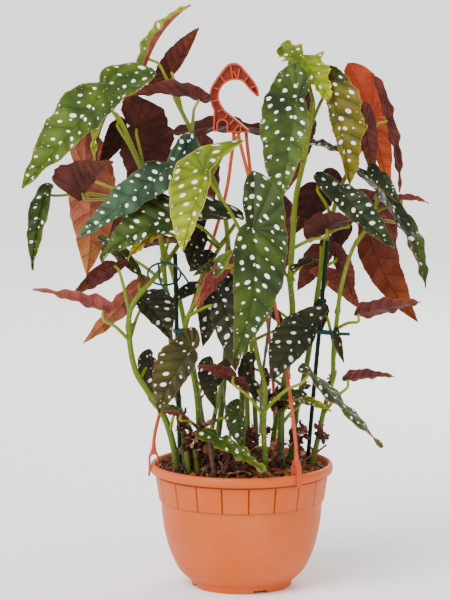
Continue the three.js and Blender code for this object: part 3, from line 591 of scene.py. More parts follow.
largeLeaves = [
    ("leaf_01", "b", 385, (-126, -28, 464), (-199, -56, 378), (-3, -9, 5), "springGreen", "maroon", "green",
     {"hand": -1, "veer": 0.1, "peak": 0.46, "broad": 0.21, "narrow": 0.22, "lobe": 0.4, "inner": 0.14}),
    ("leaf_02", "c", 450, (-86, 12, 490), (-47, 2, 540), (-9, -1.5, 3), "lime", "orange", "yellow",
     {"hand": -1, "fold": 0.9, "broad": 0.18, "narrow": 0.12, "lobe": 0.35, "veer": 0.1}),
    ("leaf_03", "c", 440, (-65, 25, 476), (-39, 18, 519), (2, 9, 3), "green", "maroon", "maroon",
     {"broad": 0.29, "narrow": 0.08, "lobe": 0.5, "veer": 0.2, "peak": 0.75, "sway": 0}),
    ("leaf_05", "c", 420, (-39, -16, 455), (-104, 6, 455), (0, 6, 7), "dark", "maroon", "maroon",
     {"broad": 0.25, "narrow": 0.08, "lobe": 0.25, "veer": 0.2, "hand": -1}),
    ("leaf_06", "c", 380, (-2, 52, 426), (-72, 34, 418), (0, 6, 8), "green", "darkMaroon", "maroon", {}),
    ("leaf_07", "b", 380, (-98, 42, 423), (-86, 55, 341), (0, 9, 2), "green", "darkMaroon", "maroon",
     {"broad": 0.38, "peak": 0.75, "narrow": 0.22, "inner": 0.12, "sway": 0, "frill": 2}),
    ("leaf_08", "b", 375, (-122, 25, 442), (-134, 18, 390), (-8, -3, 3), "lime", "maroon", "yellow",
     {"fold": 0.5, "broad": 0.2, "narrow": 0.13, "lobe": 0.15}),
    ("leaf_09", "b", 340, (-147, 72, 380), (-147, 80, 281), (-1, 9, 2), "green", "orange", "orange",
     {"broad": 0.27, "narrow": 0.2, "peak": 0.75, "inner": 0.14}),
    ("leaf_10", "a", 330, (-69, -38, 394), (-150, -66, 332), (-2, -8, 6), "blueGreen", "maroon", "green",
     {"hand": -1, "broad": 0.21, "narrow": 0.16, "veer": -0.25, "lobe": 0.44, "inner": 0.1, "peak": 0.5}),
    ("leaf_11", "j", 335, (-147, 4, 367), (-117, -28, 399), (2, 4, 9), "green", "maroon", "maroon",
     {"broad": 0.62, "narrow": 0.1, "lobe": 0.15, "veer": 0, "peak": 0.42}),
    ("leaf_12", "j", 345, (-180, 10, 369), (-193, -8, 297), (-4, -9, 1), "green", "maroon", "green",
     {"fold": 0.5, "broad": 0.13, "narrow": 0.13, "lobe": 0.1, "sway": 0}),
    ("leaf_13", "d", 320, (-45, -58, 356), (-128, -80, 316), (0, -7, 7), "green", "maroon", "green",
     {"broad": 0.26, "peak": 0.75, "veer": -0.18, "inner": 0.16, "frill": 2}),
    ("leaf_14", "e", 318, (-33, -78, 394), (-53, -98, 325), (-2, -10, 3), "lime", "rose", "yellow",
     {"broad": 0.36, "peak": 0.85, "narrow": 0.11, "veer": -0.3, "lobe": 0.55, "sway": 0}),
    ("leaf_16", "e", 318, (9, -100, 346), (-8, -112, 230), (1, -9, 2), "green", "maroon", "green",
     {"hand": -1, "sway": 0.07, "veer": -0.04, "inner": 0.09, "broad": 0.25}),
    ("leaf_17", "f", 440, (49, -46, 457), (33, -74, 365), (1, -10, 2), "midGreen", "maroon", "green",
     {"broad": 0.31, "peak": 0.8, "narrow": 0.14, "lobe": 0.38, "inner": 0.11, "veer": 0.05, "sway": 0}),
    ("leaf_18", "f", 452, (56, -8, 493), (80, -26, 456), (2, -8, 6), "lime", "rose", "yellow",
     {"broad": 0.4, "narrow": 0.32, "lobe": 0.55, "frill": 5}),
    ("leaf_19", "f", 425, (79, -12, 474), (98, -34, 376), (-2, -9, 3), "olive", "coral", "green",
     {"hand": -1, "broad": 0.23, "narrow": 0.07, "lobe": 0.12, "peak": 0.7, "sway": 0.03, "frill": 2}),
    ("leaf_20", "g", 412, (121, 48, 434), (139, 56, 366), (0, 10, 1), "green", "coral", "coral",
     {"narrow": 0.1, "lobe": 0.8, "inner": 0.17, "sway": 0, "bow": 0.02, "veer": -0.12}),
    ("leaf_21", "g", 405, (135, 22, 432), (146, 10, 367), (7, 4, 1), "green", "maroon", "maroon",
     {"broad": 0.16, "narrow": 0.1, "lobe": 0.65, "fold": 0.15, "bow": 0.02}),
    ("leaf_24", "h", 345, (89, -48, 375), (139, -74, 323), (1, -8, 6), "deepGreen", "maroon", "green",
     {"broad": 0.19, "narrow": 0.19, "lobe": 0.4}),
    ("leaf_26", "g", 340, (71, 34, 371), (45, 48, 322), (0, 9, 4), "green", "deepMaroon", "maroon",
     {"broad": 0.38, "narrow": 0.24}),
    ("leaf_27", "h", 330, (118, 46, 335), (166, 60, 239), (-2, 9, 1), "green", "rust", "orange",
     {"broad": 0.2, "narrow": 0.14, "lobe": 0.2, "peak": 0.7, "sway": -0.06}),
    ("leaf_31", "h", 240, (107, -22, 258), (163, -40, 272), (0, 7, 7), "green", "maroon", "maroon",
     {"broad": 0.2, "narrow": 0.2, "lobe": 0.06, "sway": 0, "bow": 0.02, "frill": 1.3}),
    ("leaf_32", "a", 235, (-126, -58, 267), (-188, -86, 290), (0, 6, 8), "green", "rose", "maroon",
     {"hand": -1, "broad": 0.2, "narrow": 0.08, "lobe": 0.1, "peak": 0.4, "bow": 0}),
    ("leaf_33", "a", 262, (-117, -10, 301), (-153, -38, 279), (0, 9, 4), "green", "maroon", "maroon",
     {"broad": 0.19, "lobe": 0.25, "narrow": 0.2}),
    ("leaf_34", "b", 255, (-95, 32, 280), (-150, 42, 220), (-3, 9, 2), "green", "orange", "orange",
     {"broad": 0.17, "narrow": 0.1, "lobe": 0.12}),
    ("leaf_39", "d", 205, (-46, -92, 235), (-75, -102, 179), (-1, -9, 3), "brownGreen", "maroon", "green",
     {"broad": 0.33, "peak": 0.75, "veer": 0.12, "lobe": 0.32, "narrow": 0.2}),
    ("leaf_48", "f", 215, (62, -56, 250), (27, -70, 203), (1, -9, 4), "dark", "maroon", "green",
     {"broad": 0.38, "peak": 0.9, "narrow": 0.2}),
    ("leaf_49", "e", 170, (61, -92, 215), (126, -116, 151), (6, -3, 6), "green", "rose", "green",
     {"broad": 0.19, "narrow": 0.1, "fold": -0.22, "lobe": 0.12, "hand": -1, "sway": -0.02, "bow": 0.02}),
    ("leaf_53", "d", 135, (-18, -64, 149), (26, -86, 120), (1, -7, 8), "springGreen", "maroon", "green",
     {"broad": 0.22, "narrow": 0.1, "lobe": 0.45, "peak": 0.42, "frill": 2.5}),
    ("leaf_b1", "j", 340, (-49, 84, 390), (-43, 104, 311), (0, 9, 3), "green", "maroon", "green",
     {"broad": 0.32}),
    ("leaf_b2", "i", 318, (20, 96, 327), (14, 114, 233), (0, 9, 3), "blueGreen", "maroon", "green",
     {"broad": 0.32}),
    ("leaf_b3", "i", 340, (45, 62, 436), (44, 76, 362), (0, 9, 3), "green", "maroon", "green",
     {"broad": 0.32}),
    ("leaf_b6", "g", 300, (112, 90, 345), (140, 118, 275), (2, 9, 3), "green", "maroon", "green",
     {"broad": 0.32, "lobe": 0.3}),
]

smallLeaves = [
    ("22", "g", 390, (112, -2, 431), (120, -10, 386), (-3, 9, 1), "green", "maroon", {}),
    ("23", "h", 355, (126, -22, 388), (144, -38, 362), (0, -8, 5), "deepGreen", "maroon", {}),
    ("25", "f", 385, (57, 24, 412), (95, -8, 404), (0, -2, 10), "dark", "maroon", {}),
    ("26b", "f", 315, (78, -8, 335), (108, -48, 348), (0, 6, 8), "green", "darkMaroon",
     {"broad": 0.4, "narrow": 0.25}),
    ("78", "h", 225, (76, 14, 262), (72, 12, 232), (0, -9, 3), "dark", "maroon",
     {"broad": 0.3, "narrow": 0.24, "lobe": 0.2}),
    ("28", "h", 350, (148, 15, 360), (173, 8, 357), (0, 6, 8), "green", "rose", {}),
    ("29", "h", 358, (129, 8, 370), (163, -12, 307), (6, -4, 5), "deepGreen", "maroon", {}),
    ("30", "h", 335, (151, 22, 343), (171, 12, 277), (6, -4, 1), "green", "maroon", {}),
    ("35", "b", 280, (-118, 34, 314), (-90, 20, 283), (0, -4, 9), "green", "maroon", {}),
    ("36", "a", 325, (-72, -60, 342), (-103, -74, 315), (0, -8, 5), "yellow", "orange",
     {"broad": 0.22, "narrow": 0.12, "frill": 4}),
    ("37", "b", 300, (-69, 36, 321), (-104, 30, 311), (0, 7, 7), "green", "maroon", {}),
    ("38", "a", 235, (-92, -14, 270), (-66, -30, 236), (0, -8, 5), "dark", "maroon",
     {"broad": 0.48, "narrow": 0.22, "lobe": 0.15, "hand": -1}),
    ("40", "a", 200, (-84, -26, 217), (-74, -40, 179), (0, -9, 3), "dark", "maroon",
     {"broad": 0.3, "lobe": 0.25}),
    ("41", "d", 290, (-15, -72, 312), (-42, -90, 271), (3, 5, 8), "green", "rose", {}),
    ("42", "d", 258, (-18, -66, 277), (-6, -80, 214), (-1, -9, 3), "dark", "maroon",
     {"hand": -1, "broad": 0.3, "narrow": 0.22}),
    ("43", "c", 240, (-34, -12, 277), (-36, -26, 228), (0, -9, 3), "dark", "maroon",
     {"hand": -1, "broad": 0.34}),
    ("45", "e", 165, (-8, -52, 205), (-41, -82, 219), (0, 6, 8), "green", "maroon", {}),
    ("46", "d", 180, (-28, -39, 208), (-24, -53, 175), (0, -9, 3), "dark", "maroon", {"broad": 0.34}),
    ("47", "f", 185, (9, -16, 209), (2, -20, 178), (0, -9, 3), "brownGreen", "maroon", {"broad": 0.34}),
    ("50", "h", 160, (98, -16, 196), (140, -28, 201), (0, 6, 8), "green", "maroon",
     {"lobe": 0.12, "bow": 0.02}),
    ("51", "h", 210, (89, -24, 237), (94, -34, 214), (0, -9, 3), "dark", "maroon",
     {"broad": 0.2, "narrow": 0.12}),
    ("52", "f", 150, (54, -2, 176), (83, -14, 166), (0, -4, 9), "lime", "maroon", {}),
    ("54", "d", 150, (-2, -44, 169), (2, -50, 137), (0, -9, 3), "green", "maroon", {"broad": 0.42}),
    ("55", "d", 150, (-56, -62, 171), (-74, -72, 175), (0, 6, 8), "green", "maroon", {}),
    ("56", "d", 318, (-38, -30, 335), (-47, -42, 303), (0, -9, 3), "dark", "maroon",
     {"broad": 0.42, "narrow": 0.28}),
    ("57", "d", 300, (-18, -56, 306), (-45, -60, 298), (0, -7, 7), "green", "maroon", {}),
    ("58", "f", 288, (52, -8, 303), (73, -12, 309), (0, -6, 7), "dark", "maroon", {"narrow": 0.22}),
    ("59", "g", 290, (88, 14, 305), (103, 10, 269), (2, 9, 2), "green", "maroon", {}),
    ("60", "g", 265, (80, 30, 282), (111, 26, 254), (0, 8, 5), "green", "rose", {"broad": 0.32}),
    ("61", "d", 190, (-16, -32, 207), (-32, -38, 182), (0, -9, 4), "dark", "maroon", {}),
    ("62", "e", 175, (10, -30, 197), (22, -36, 173), (0, -9, 4), "dark", "maroon", {}),
    ("68", "g", 225, (24, 8, 265), (41, 4, 243), (0, -9, 4), "dark", "maroon", {}),
    ("b4", "i", 215, (56, 86, 236), (40, 100, 190), (0, 9, 3), "green", "maroon", {"lobe": 0.2}),
    ("b5", "j", 190, (-62, 88, 205), (-74, 98, 150), (0, 9, 3), "green", "maroon", {"lobe": 0.2}),
    ("b7", "j", 320, (-116, 102, 343), (-134, 112, 298), (-3, 9, 3), "green", "maroon", {"lobe": 0.2}),
    ("b8", "i", 260, (-8, 92, 285), (-30, 108, 222), (0, 9, 3), "dark", "maroon", {}),
    ("69", "e", 300, (-22, -106, 312), (-8, -115, 329), (-3, -9, 4), "springGreen", "maroon",
     {"broad": 0.3, "narrow": 0.3}),
    ("70", "a", 150, (-60, -50, 172), (-77, -58, 173), (0, -5, 8), "springGreen", "maroon",
     {"broad": 0.4, "narrow": 0.3}),
    ("71", "d", 290, (-31, -44, 312), (-48, -52, 301), (0, -8, 5), "dark", "maroon",
     {"broad": 0.45, "narrow": 0.35}),
    ("72", "f", 160, (51, -26, 183), (28, -32, 178), (0, -8, 6), "green", "maroon",
     {"broad": 0.25, "narrow": 0.2}),
    ("73", "b", 372, (-115, 29, 430), (-133, 30, 388), (0, 9, 2), "green", "deepMaroon",
     {"broad": 0.25, "lobe": 0.15}),
    ("74", "g", 325, (100, 38, 334), (87, 35, 306), (0, 9, 3), "green", "deepMaroon",
     {"hand": -1, "broad": 0.36, "narrow": 0.24, "lobe": 0.2}),
    ("75", "c", 250, (-40, -20, 284), (-66, -24, 268), (0, -9, 4), "dark", "maroon",
     {"broad": 0.2, "narrow": 0.2, "lobe": 0.15}),
    ("77", "g", 285, (74, 38, 313), (52, 34, 272), (0, 9, 3), "green", "maroon",
     {"broad": 0.3, "narrow": 0.24, "lobe": 0.3}),
]

greenSides = {  # shaded tone, lit tone, margin tone, share of the spots
    "blueGreen": ((34, 56, 42), (92, 118, 90), (120, 120, 90), 1.0),
    "green": ((34, 50, 22), (86, 104, 50), (120, 110, 70), 1.0),
    "midGreen": ((42, 60, 28), (106, 124, 70), (130, 120, 80), 1.0),
    "springGreen": ((48, 72, 28), (110, 128, 60), (170, 150, 90), 1.0),
    "lime": ((92, 114, 34), (166, 174, 74), (214, 196, 120), 0.9),
    "olive": ((70, 74, 30), (138, 126, 66), (190, 150, 96), 0.8),
    "deepGreen": ((22, 34, 14), (56, 68, 34), (110, 90, 60), 0.85),
    "dark": ((28, 30, 12), (62, 64, 34), (100, 74, 50), 0.8),
    "brownGreen": ((40, 38, 12), (92, 84, 34), (120, 84, 54), 0.85),
    "yellow": ((160, 142, 60), (204, 188, 104), (214, 180, 118), 0.3),
}
redSides = {  # shaded tone, lit tone, painted shade along the raised veins
    "deepMaroon": ((48, 18, 14), (88, 42, 34), (40, 16, 12)),
    "darkMaroon": ((70, 34, 30), (122, 68, 60), (52, 24, 20)),
    "maroon": ((82, 42, 38), (144, 82, 74), (70, 32, 28)),
    "rose": ((130, 66, 62), (186, 108, 100), (120, 54, 50)),
    # coral and orange: the red underside with painted light, the glow of light shining through the blade from
    # behind
    "coral": ((172, 80, 62), (210, 108, 86), (150, 58, 46)),
    "orange": ((142, 80, 66), (200, 132, 110), (122, 62, 50)),
    "rust": ((92, 42, 32), (156, 80, 60), (74, 32, 24)),
}
veins = {
    "gap": 0.2,  # between side veins along the midrib, in leaf lengths
    "closer": 0.03,  # less than that on the broad half
    "lean": 0.5,  # how far a side vein runs forward for its way out
    "curve": 0.9,  # and how much more with each leaf length
    "across": 0.85,  # of the gap along the midrib, measured square to the veins
    "fanFrom": 1.107,  # radians from the midrib
    "fanTurn": 0.42,  # between the veins that fan out from the junction
    "none": 99,  # mm, where no vein is near
}
spots = {"pitch": 10.5, "speckPitch": 4.6, "scatter": 0.6, "color": (222, 228, 208)}  # mm


class LeafFace(Finish):
    # a side of the leaves; place is along, across (in leaf lengths) and the leaf's length in mm, rim
    # is mm from the margin, and a shift that makes each leaf's pattern its own
    def __init__(self, name):
        super().__init__(name)
        self.along, aside, long = self.parts(self.attribute("place"))
        self.edge, shift, _ = self.parts(self.attribute("rim"))
        along, out, broadSide = self.along, aside.size(), aside.over(0)
        gap, fan = veins["gap"] - broadSide * veins["closer"], veins["fanTurn"]
        forward = along - out * (veins["lean"] + out * veins["curve"])
        toSideVein = (forward / gap).wave() * gap * long * veins["across"]
        toSideVein = toSideVein + (0 - gap / 2).over(forward) * veins["none"]
        turned = out.math("ARCTAN2", out, along) - veins["fanFrom"]
        reach = (along * along + out * out) ** 0.5
        toFanVein = (turned / fan).wave() * fan * reach * long + (fan / 2 - turned).over(0) * veins["none"]
        self.toVein = toSideVein.capped(toFanVein)  # mm
        veinWidth = (self.edge * 0.05 + 0.2).capped(0.75)  # mm
        self.vein = 1 - (self.toVein / veinWidth).clamped()
        self.pillow = (self.toVein * 0.2).clamped() ** 0.6  # 0 at a vein, 1 between veins
        self.midrib = (1 - out * long * 1.3).clamped() * (along * 20 + 1).clamped()
        self.junction = (1 - reach * long * 0.6).clamped()
        # mm across and along the side veins, a different stretch of it for each half
        across, down = forward * long + shift, (out + along * 0.5) * long * 0.7 + shift + broadSide * 70
        self.flat = self.node("ShaderNodeCombineXYZ", sockets={"X": across, "Y": down})
        self.skin = self.node("ShaderNodeCombineXYZ", sockets={"X": along * long + shift, "Y": aside * long})

    def dots(self, apart, out=0):
        return self.cells(1 / apart, self.flat, out=out, jitter=spots["scatter"])

    def mottle(self, cloud, shade, lit):
        return self.mix(cloud.rise(0.36, 2.8), linear(shade), linear(lit))


def leafGreen(name):
    shade, lit, margin, amount = greenSides[name]
    look = LeafFace("leaf top " + name)
    cloud = look.noise(0.035, 3, look.skin)
    fine = look.noise(0.9, 3, look.skin)
    tone = look.mottle(cloud, shade, lit)
    tone = look.mix((look.along * 1.1 - 0.15).clamped() * 0.35, tone, shifted(lit, 1.2, 4))
    # painted shade: darker towards the sunken veins, where the quilted blade dips
    tone = look.mix((1 - look.pillow) * 0.5, tone, shifted(shade, 0.75))
    tone = look.mix((look.midrib * 0.6 + look.junction).clamped(), tone, shifted(lit, 0.8, 36))
    # a spot's size is its own draw; it keeps off veins and margin, and specks crowd towards the margin
    big = look.parts(look.dots(spots["pitch"], 1))[0]
    roomy = look.toVein.rise(0.3, 0.5) * 0.3 + 0.7
    spot = ((0.09 + big * 0.16) * roomy - look.dots(spots["pitch"]) + (fine - 0.5) * 0.03) * 24
    spot = spot.clamped() * look.edge.rise(1.0, 0.4)
    small = look.parts(look.dots(spots["speckPitch"], 1))[1]
    nearEdge = (1.3 - look.edge * 0.14).clamped() * 0.75 + 0.25
    speck = (((small - 0.62) * 0.5 * nearEdge - look.dots(spots["speckPitch"])) * 16).clamped() * (1 - spot)
    tone = look.mix(((spot + speck * 0.8) * amount).clamped(), tone, linear(spots["color"]))
    rim = 1 - ((look.edge - 0.1 - fine * 0.7) * 2.4).clamped()
    blush = ((5 - look.edge) * 0.2).clamped() * cloud.rise(0.45, 4)
    tone = look.mix((rim * 0.6 + blush * 0.25).clamped(), tone, linear(margin))
    height = fine * 0.3 + spot * 0.4 + look.pillow * 1.6 - look.midrib * 1.2
    return look.feed(color=tone, roughness=0.42 + cloud * 0.16 + spot * 0.1,
                     normal=look.bump(height, 0.8, 0.0009), specular=0.2)


def leafRed(name):
    shade, lit, vein = redSides[name]
    look = LeafFace("leaf underside " + name)
    cloud = look.noise(0.04, 3, look.skin)
    fine = look.noise(0.7, 3, look.skin)
    net = look.cells(0.28, look.skin, feature="DISTANCE_TO_EDGE")
    tone = look.mottle(cloud, shade, lit)
    tip = linear((lit[0] * 1.12, lit[1] * 1.25, lit[2]))
    tone = look.mix((look.along * 1.3 - 0.5).clamped() * 0.6, tone, tip)
    # painted shade: darker on the raised veins and beside them
    tone = look.mix(look.vein * 0.5 + (1 - look.pillow) * 0.35, tone, linear(vein))
    pale = shifted(lit, 1.15)
    tone = look.mix((look.midrib * 0.5 + look.junction).clamped(), tone, pale)
    tone = look.mix(fine.rise(0.5, 1.2), tone, linear(shade))
    tone = look.mix((1 - look.edge.rise(0.2, 2.4)) * 0.5, tone, pale)
    height = fine * 0.3 - look.pillow * 1.6 + look.midrib * 2.0 - (net * 4).clamped() * 0.5
    return look.feed(color=tone, roughness=0.5 + fine * 0.1,
                     normal=look.bump(height, 0.8, 0.0009), specular=0.16)


greenLooks = {name: leafGreen(name) for name in greenSides}
redLooks = {name: leafRed(name) for name in redSides}

# Leaf blades: the same formula as the solids', with finer waves and teeth

blade = {
    "thick": 0.0006,  # m
    "rows": (14, 12, 44),  # over the lobe, the junction and the rest
    "smallRows": 0.7,  # a small leaf's share of them
    "broadSteps": (0.07, 0.18, 0.32, 0.47, 0.62, 0.76, 0.88, 0.96, 1.0),  # from the midrib to the margin
    "narrowSteps": (1.0, 0.94, 0.82, 0.64, 0.44, 0.24, 0.09),
    # how far in leaf lengths, how often, and how many times the leaf's own phase
    "ripples": ((0.025, 21, 1), (0.018, 47, 2)),  # of its outline
    "waves": ((0.016, 17, 1), (0.010, 31, 3)),  # of its margin, up and down
    "teeth": (0.006, 26),
    "pucker": 0.005,
    "channel": (0.006, 0.012),  # along the midrib: depth and half width
}


def leafFrame(leaf):
    base = np.array(leaf["base"]) * mm
    along = np.array(leaf["tip"]) * mm - base
    length = np.linalg.norm(along)
    along = along / length
    up = np.array(leaf["up"], float)
    up = up - along * (up @ along)
    up = up / np.linalg.norm(up)
    return base, along, up, length


def halfWidths(leaf, t):
    s = np.clip((t + leaf["lobe"]) / (1 + leaf["lobe"]), 0, 1)
    broad = leaf["broad"] * np.sin(math.pi * s ** leaf["peak"]).clip(0) ** 0.85
    reach = np.clip((t + 0.05) / 1.05, 0, 1)
    narrow = leaf["narrow"] * np.sin(math.pi * reach ** 0.6).clip(0) ** 0.8
    inner = leaf["inner"] * np.where(t < 0, 0.4 + 0.6 * np.sin(-math.pi * t / leaf["lobe"]), 0)
    inner = np.where(t < -0.9 * leaf["lobe"], inner * (1 - (-t / leaf["lobe"] - 0.9) * 9), inner)
    return np.maximum(0.003, broad), np.maximum(0.003, np.maximum(narrow, inner))


def swaying(t, phase, parts):
    return sum(far * np.sin(t * often + phase * times) for far, often, times in parts)


def leafRows(lobe, share):
    # places along the midrib, 0 at the junction and 1 at the tip, close together round the junction
    lobeRows, joinRows, restRows = (int(count * share) for count in blade["rows"])
    return np.concatenate([
        -lobe + (lobe - 0.07) * np.linspace(0, 1, lobeRows, endpoint=False) ** 1.3,
        np.linspace(-0.07, 0.1, joinRows, endpoint=False),
        0.1 + 0.9 * np.linspace(0, 1, restRows) ** 0.9,
    ])


def leafGrid(leaf, seed):
    # the blade's middle surface as rows of points, which way it faces, and the notes for its finish
    base, along, up, length = leafFrame(leaf)
    across = np.cross(along, up) * leaf["hand"]
    lobe, frill = leaf["lobe"], leaf["frill"]
    rows = leafRows(lobe, blade["smallRows"] if leaf["small"] else 1.0)
    phase = random.Random(seed).uniform(0, 6.28)
    ripple = 1 + swaying(rows, phase, blade["ripples"]) * frill
    depth, often = blade["teeth"]
    teeth = depth * frill * (1 - ((rows * often + phase) % 1.0)) * (np.abs(rows - 0.3) < 0.66)
    broad, narrow = halfWidths(leaf, rows)
    broad, narrow = broad * ripple + teeth, narrow * (2 - ripple) + np.where(narrow > 0.04, teeth, 0)
    side = np.concatenate([-narrow[:, None] * np.array(blade["narrowSteps"]), np.zeros((len(rows), 1)),
                           broad[:, None] * np.array(blade["broadSteps"])], axis=1)
    t = np.repeat(rows[:, None], side.shape[1], axis=1)
    out = np.abs(side)
    width = np.where(side < 0, narrow[:, None], broad[:, None])
    spread = out / width
    centre = np.where(t < 0, leaf["veer"] * (t / lobe) ** 2, leaf["sway"] * 4 * t * (1 - t))
    forward = t - out * (veins["lean"] + out * veins["curve"])
    gap = np.where(side > 0, veins["gap"] - veins["closer"], veins["gap"])
    turned = (np.arctan2(out, t) - veins["fanFrom"]) / veins["fanTurn"]
    pucker = np.cos(2 * math.pi * np.where(forward > 0, forward / gap, turned))
    pucker = blade["pucker"] * pucker * np.clip(spread * 3, 0, 1) * (1 - spread ** 4)
    waves = swaying(t, phase, blade["waves"]) * spread ** 3 * frill
    deep, wide = blade["channel"]
    rise = leaf["fold"] * out * (1 - 0.4 * out) + leaf["bow"] * 4 * t * (1 - t)
    rise = rise - pucker + waves * np.where(side < 0, -1, 1) - deep * np.exp(-(side / wide) ** 2)
    middle = (base + along * (t * length)[..., None] + across * ((centre + side) * length)[..., None]
              + up * (rise * length)[..., None])
    edge = np.minimum(np.minimum(width - out, (1 - t) * 0.7), t + lobe) * length / mm
    place = np.stack([t, side, np.full(t.shape, length / mm)], axis=-1)
    rim = np.stack([edge, np.full(t.shape, seed * 37.0), np.zeros(t.shape)], axis=-1)
    return middle, up, place.reshape(-1, 3), rim.reshape(-1, 3)


def leafShape(leaf, seed):
    middle, up, place, rim = leafGrid(leaf, seed)
    count, columns, _ = middle.shape
    half = count * columns
    top = (middle + up * blade["thick"] / 2).reshape(-1, 3)
    under = (middle - up * blade["thick"] / 2).reshape(-1, 3)
    index = np.arange(half).reshape(count, columns)
    corners = [index[:-1, :-1], index[1:, :-1], index[1:, 1:], index[:-1, 1:]]
    quads = np.stack(corners, axis=-1).reshape(-1, 4)
    ring = np.concatenate([index[:, 0], index[-1, 1:], index[::-1, -1][1:], index[0, ::-1][1:-1]])
    wall = [(i, j, j + half, i + half) for i, j in zip(ring, np.roll(ring, -1))]
    faces = [tuple(q) for q in quads] + [tuple(q[::-1]) for q in quads + half] + [w[::-1] for w in wall]
    if leaf["hand"] > 0:
        faces = [f[::-1] for f in faces]
    looks = [0] * len(quads) + [1] * (len(quads) + len(wall))
    return Shape().add(np.concatenate([top, under]), faces, looks, place=np.concatenate([place, place]),
                       rim=np.concatenate([rim, rim]))


def fullLeaf(row, small):
    if small:
        row = (*row[:-1], "cane", row[-1])
    name, cane, foot, base, tip, up, green, red, slot, extra = row
    return {**leafUsual, "name": name, "cane": cane, "from": foot, "base": base, "tip": tip, "up": up,
            "green": green, "red": red, "slot": slot if small else "leaf_" + slot, "small": small, **extra}


allLeaves = [fullLeaf(row, False) for row in largeLeaves] + [fullLeaf(row, True) for row in smallLeaves]

for number, leaf in enumerate(allLeaves):
    name = "small_leaf_" + leaf["name"] if leaf["small"] else leaf["name"] + "_blade"
    leafShape(leaf, number + 1).piece(name, [greenLooks[leaf["green"]], redLooks[leaf["red"]]], leaf["slot"],
                                      None if leaf["small"] else leaf["name"], 60)
print("leaves made:", len(allLeaves))

# Stems, in metres: canes with swollen joints and torn husks, and the stalks that carry the leaves

stem = {
    "cane": ((84, 106, 50), (134, 150, 64), (134, 92, 58)),  # foot, top, scars
    "stalk": ((122, 140, 64), (160, 168, 88), (178, 110, 86)),
    "fleck": (206, 200, 150),
    "husk": ((176, 128, 84), (96, 60, 38)),
    "taper": 0.4,  # how much of its thickness a cane loses by its top
    "swell": 0.3,  # how much it gains at a joint
    "swellRun": 0.009,  # how far from the joint, in cane lengths
    "husks": 3,  # at each joint
    "huskLength": (0.002, 0.005),
    "huskLift": (-0.006, 0.008),
    "huskRadius": 0.0016,
    "stalkFoot": 1.75,  # radius, mm
    "stalkTaper": 0.5,  # mm
    "stalkGap": 0.0002,  # under the blade
}


def stemSkin(name, low, high, scar):
    look = Finish(name)
    run = look.parts(look.attribute("along"))[0]
    cloud = look.noise(60, 4)
    fleck = look.cells(260.0, look.place(), flat=False)
    tone = look.mix((run * 1.3 + (cloud - 0.5) * 0.9).clamped(), linear(low), linear(high))
    tone = look.mix(((0.22 - fleck) * 8).clamped() * 0.45, tone, linear(stem["fleck"]))
    tone = look.mix(cloud.rise(0.6, 5) * 0.5, tone, linear(scar))
    streak = look.noise(300, 3)
    return look.feed(color=tone, roughness=0.4 + cloud * 0.2,
                     normal=look.bump(streak + cloud, 0.3, 0.0005), specular=0.3)


def papery(name, light, dark):
    look = Finish(name)
    cloud = look.noise(180, 4)
    return look.feed(color=look.mix((cloud - 0.3) * 2, linear(dark), linear(light)), roughness=0.8,
                     normal=look.bump(cloud, 0.5, 0.0008))


caneLook = stemSkin("cane skin", *stem["cane"])
stalkLook = stemSkin("stalk skin", *stem["stalk"])
huskLook = papery("dry husk", *stem["husk"])


def stalkPath(leaf):
    base, along, up, length = leafFrame(leaf)
    under = up - along * 4 * leaf["bow"]
    under = under / np.linalg.norm(under)
    path = canePaths[leaf["cane"]]
    above = path[:, 2] >= leaf["from"] * mm
    start = path[int(np.argmax(above))] if above[-1] else path[-1]
    neck = base - under * (0.09 * length + 0.003)
    middle = start + (neck - start) * 0.55
    middle = middle + np.array((0, 0, leaf["rise"] * np.linalg.norm(neck - start)))
    return smoothPath([start, middle, neck, base - under * stem["stalkGap"]], 0.003)


def addHusk(shape, at, r, draw):
    turned = draw.uniform(0, 6.28)
    out = np.array((math.cos(turned), math.sin(turned), 0))
    root = at + out * r * 0.7
    tip = root + out * draw.uniform(*stem["huskLength"]) + np.array((0, 0, draw.uniform(*stem["huskLift"])))
    shape.tube([root, (root + tip) / 2 + out * 0.001, tip],
               lambda s: stem["huskRadius"] * (1 - 0.85 * s), 6, 2, 0.3)


def makeCane(letter):
    radius, joints, _ = canes[letter]
    draw = random.Random(letter)
    path = canePaths[letter]
    run = shareRun(path)

    def thickness(s):
        swell = sum(math.exp(-((s - joint) / stem["swellRun"]) ** 2) for joint in joints)
        return radius * mm * (1 - stem["taper"] * s) * (1 + stem["swell"] * min(1.0, swell))

    shape = Shape().tube(path, thickness, 14)
    for joint in joints:
        at = path[int(np.argmax(run >= joint))]
        for _ in range(stem["husks"]):
            addHusk(shape, at, thickness(joint), draw)
    for leaf in allLeaves:
        if leaf["cane"] == letter:
            shape.tube(stalkPath(leaf), lambda s: (stem["stalkFoot"] - stem["stalkTaper"] * s) * mm, 10, 1)
    shape.piece("cane_" + letter + "_stem", [caneLook, stalkLook, huskLook], "cane", "cane_" + letter, 50)


for letter in canes:
    makeCane(letter)
print("canes made:", len(canes))

# Soil, in metres, with bark chips that lie in and on it

soil = {
    "seed": 5,
    "rings": 34,
    "sides": 120,
    "rough": 0.0012,  # how far a point of its top lies up or down
    "radius": 0.0768,
    "below": [(0.0755, 0.103), (0.068, 0.06)],  # radius and height, down the side
    "chips": 1500,
    "chipsWithin": 0.075,
    "chipSize": ((0.002, 0.009), (0.001, 0.004), (0.0008, 0.0024)),
    "chipTilt": 0.7,
    "chipLift": 0.003,
    "tones": ((30, 20, 14), (84, 58, 40), (54, 38, 28)),
    "chipTones": {  # light, dark
        "brown": ((146, 88, 56), (78, 46, 30)),
        "rust": ((196, 116, 70), (124, 68, 42)),
        "dark": ((70, 46, 34), (30, 18, 14)),
    },
    "chipChoice": (1, 1, 2, 3),  # brown twice as often
}


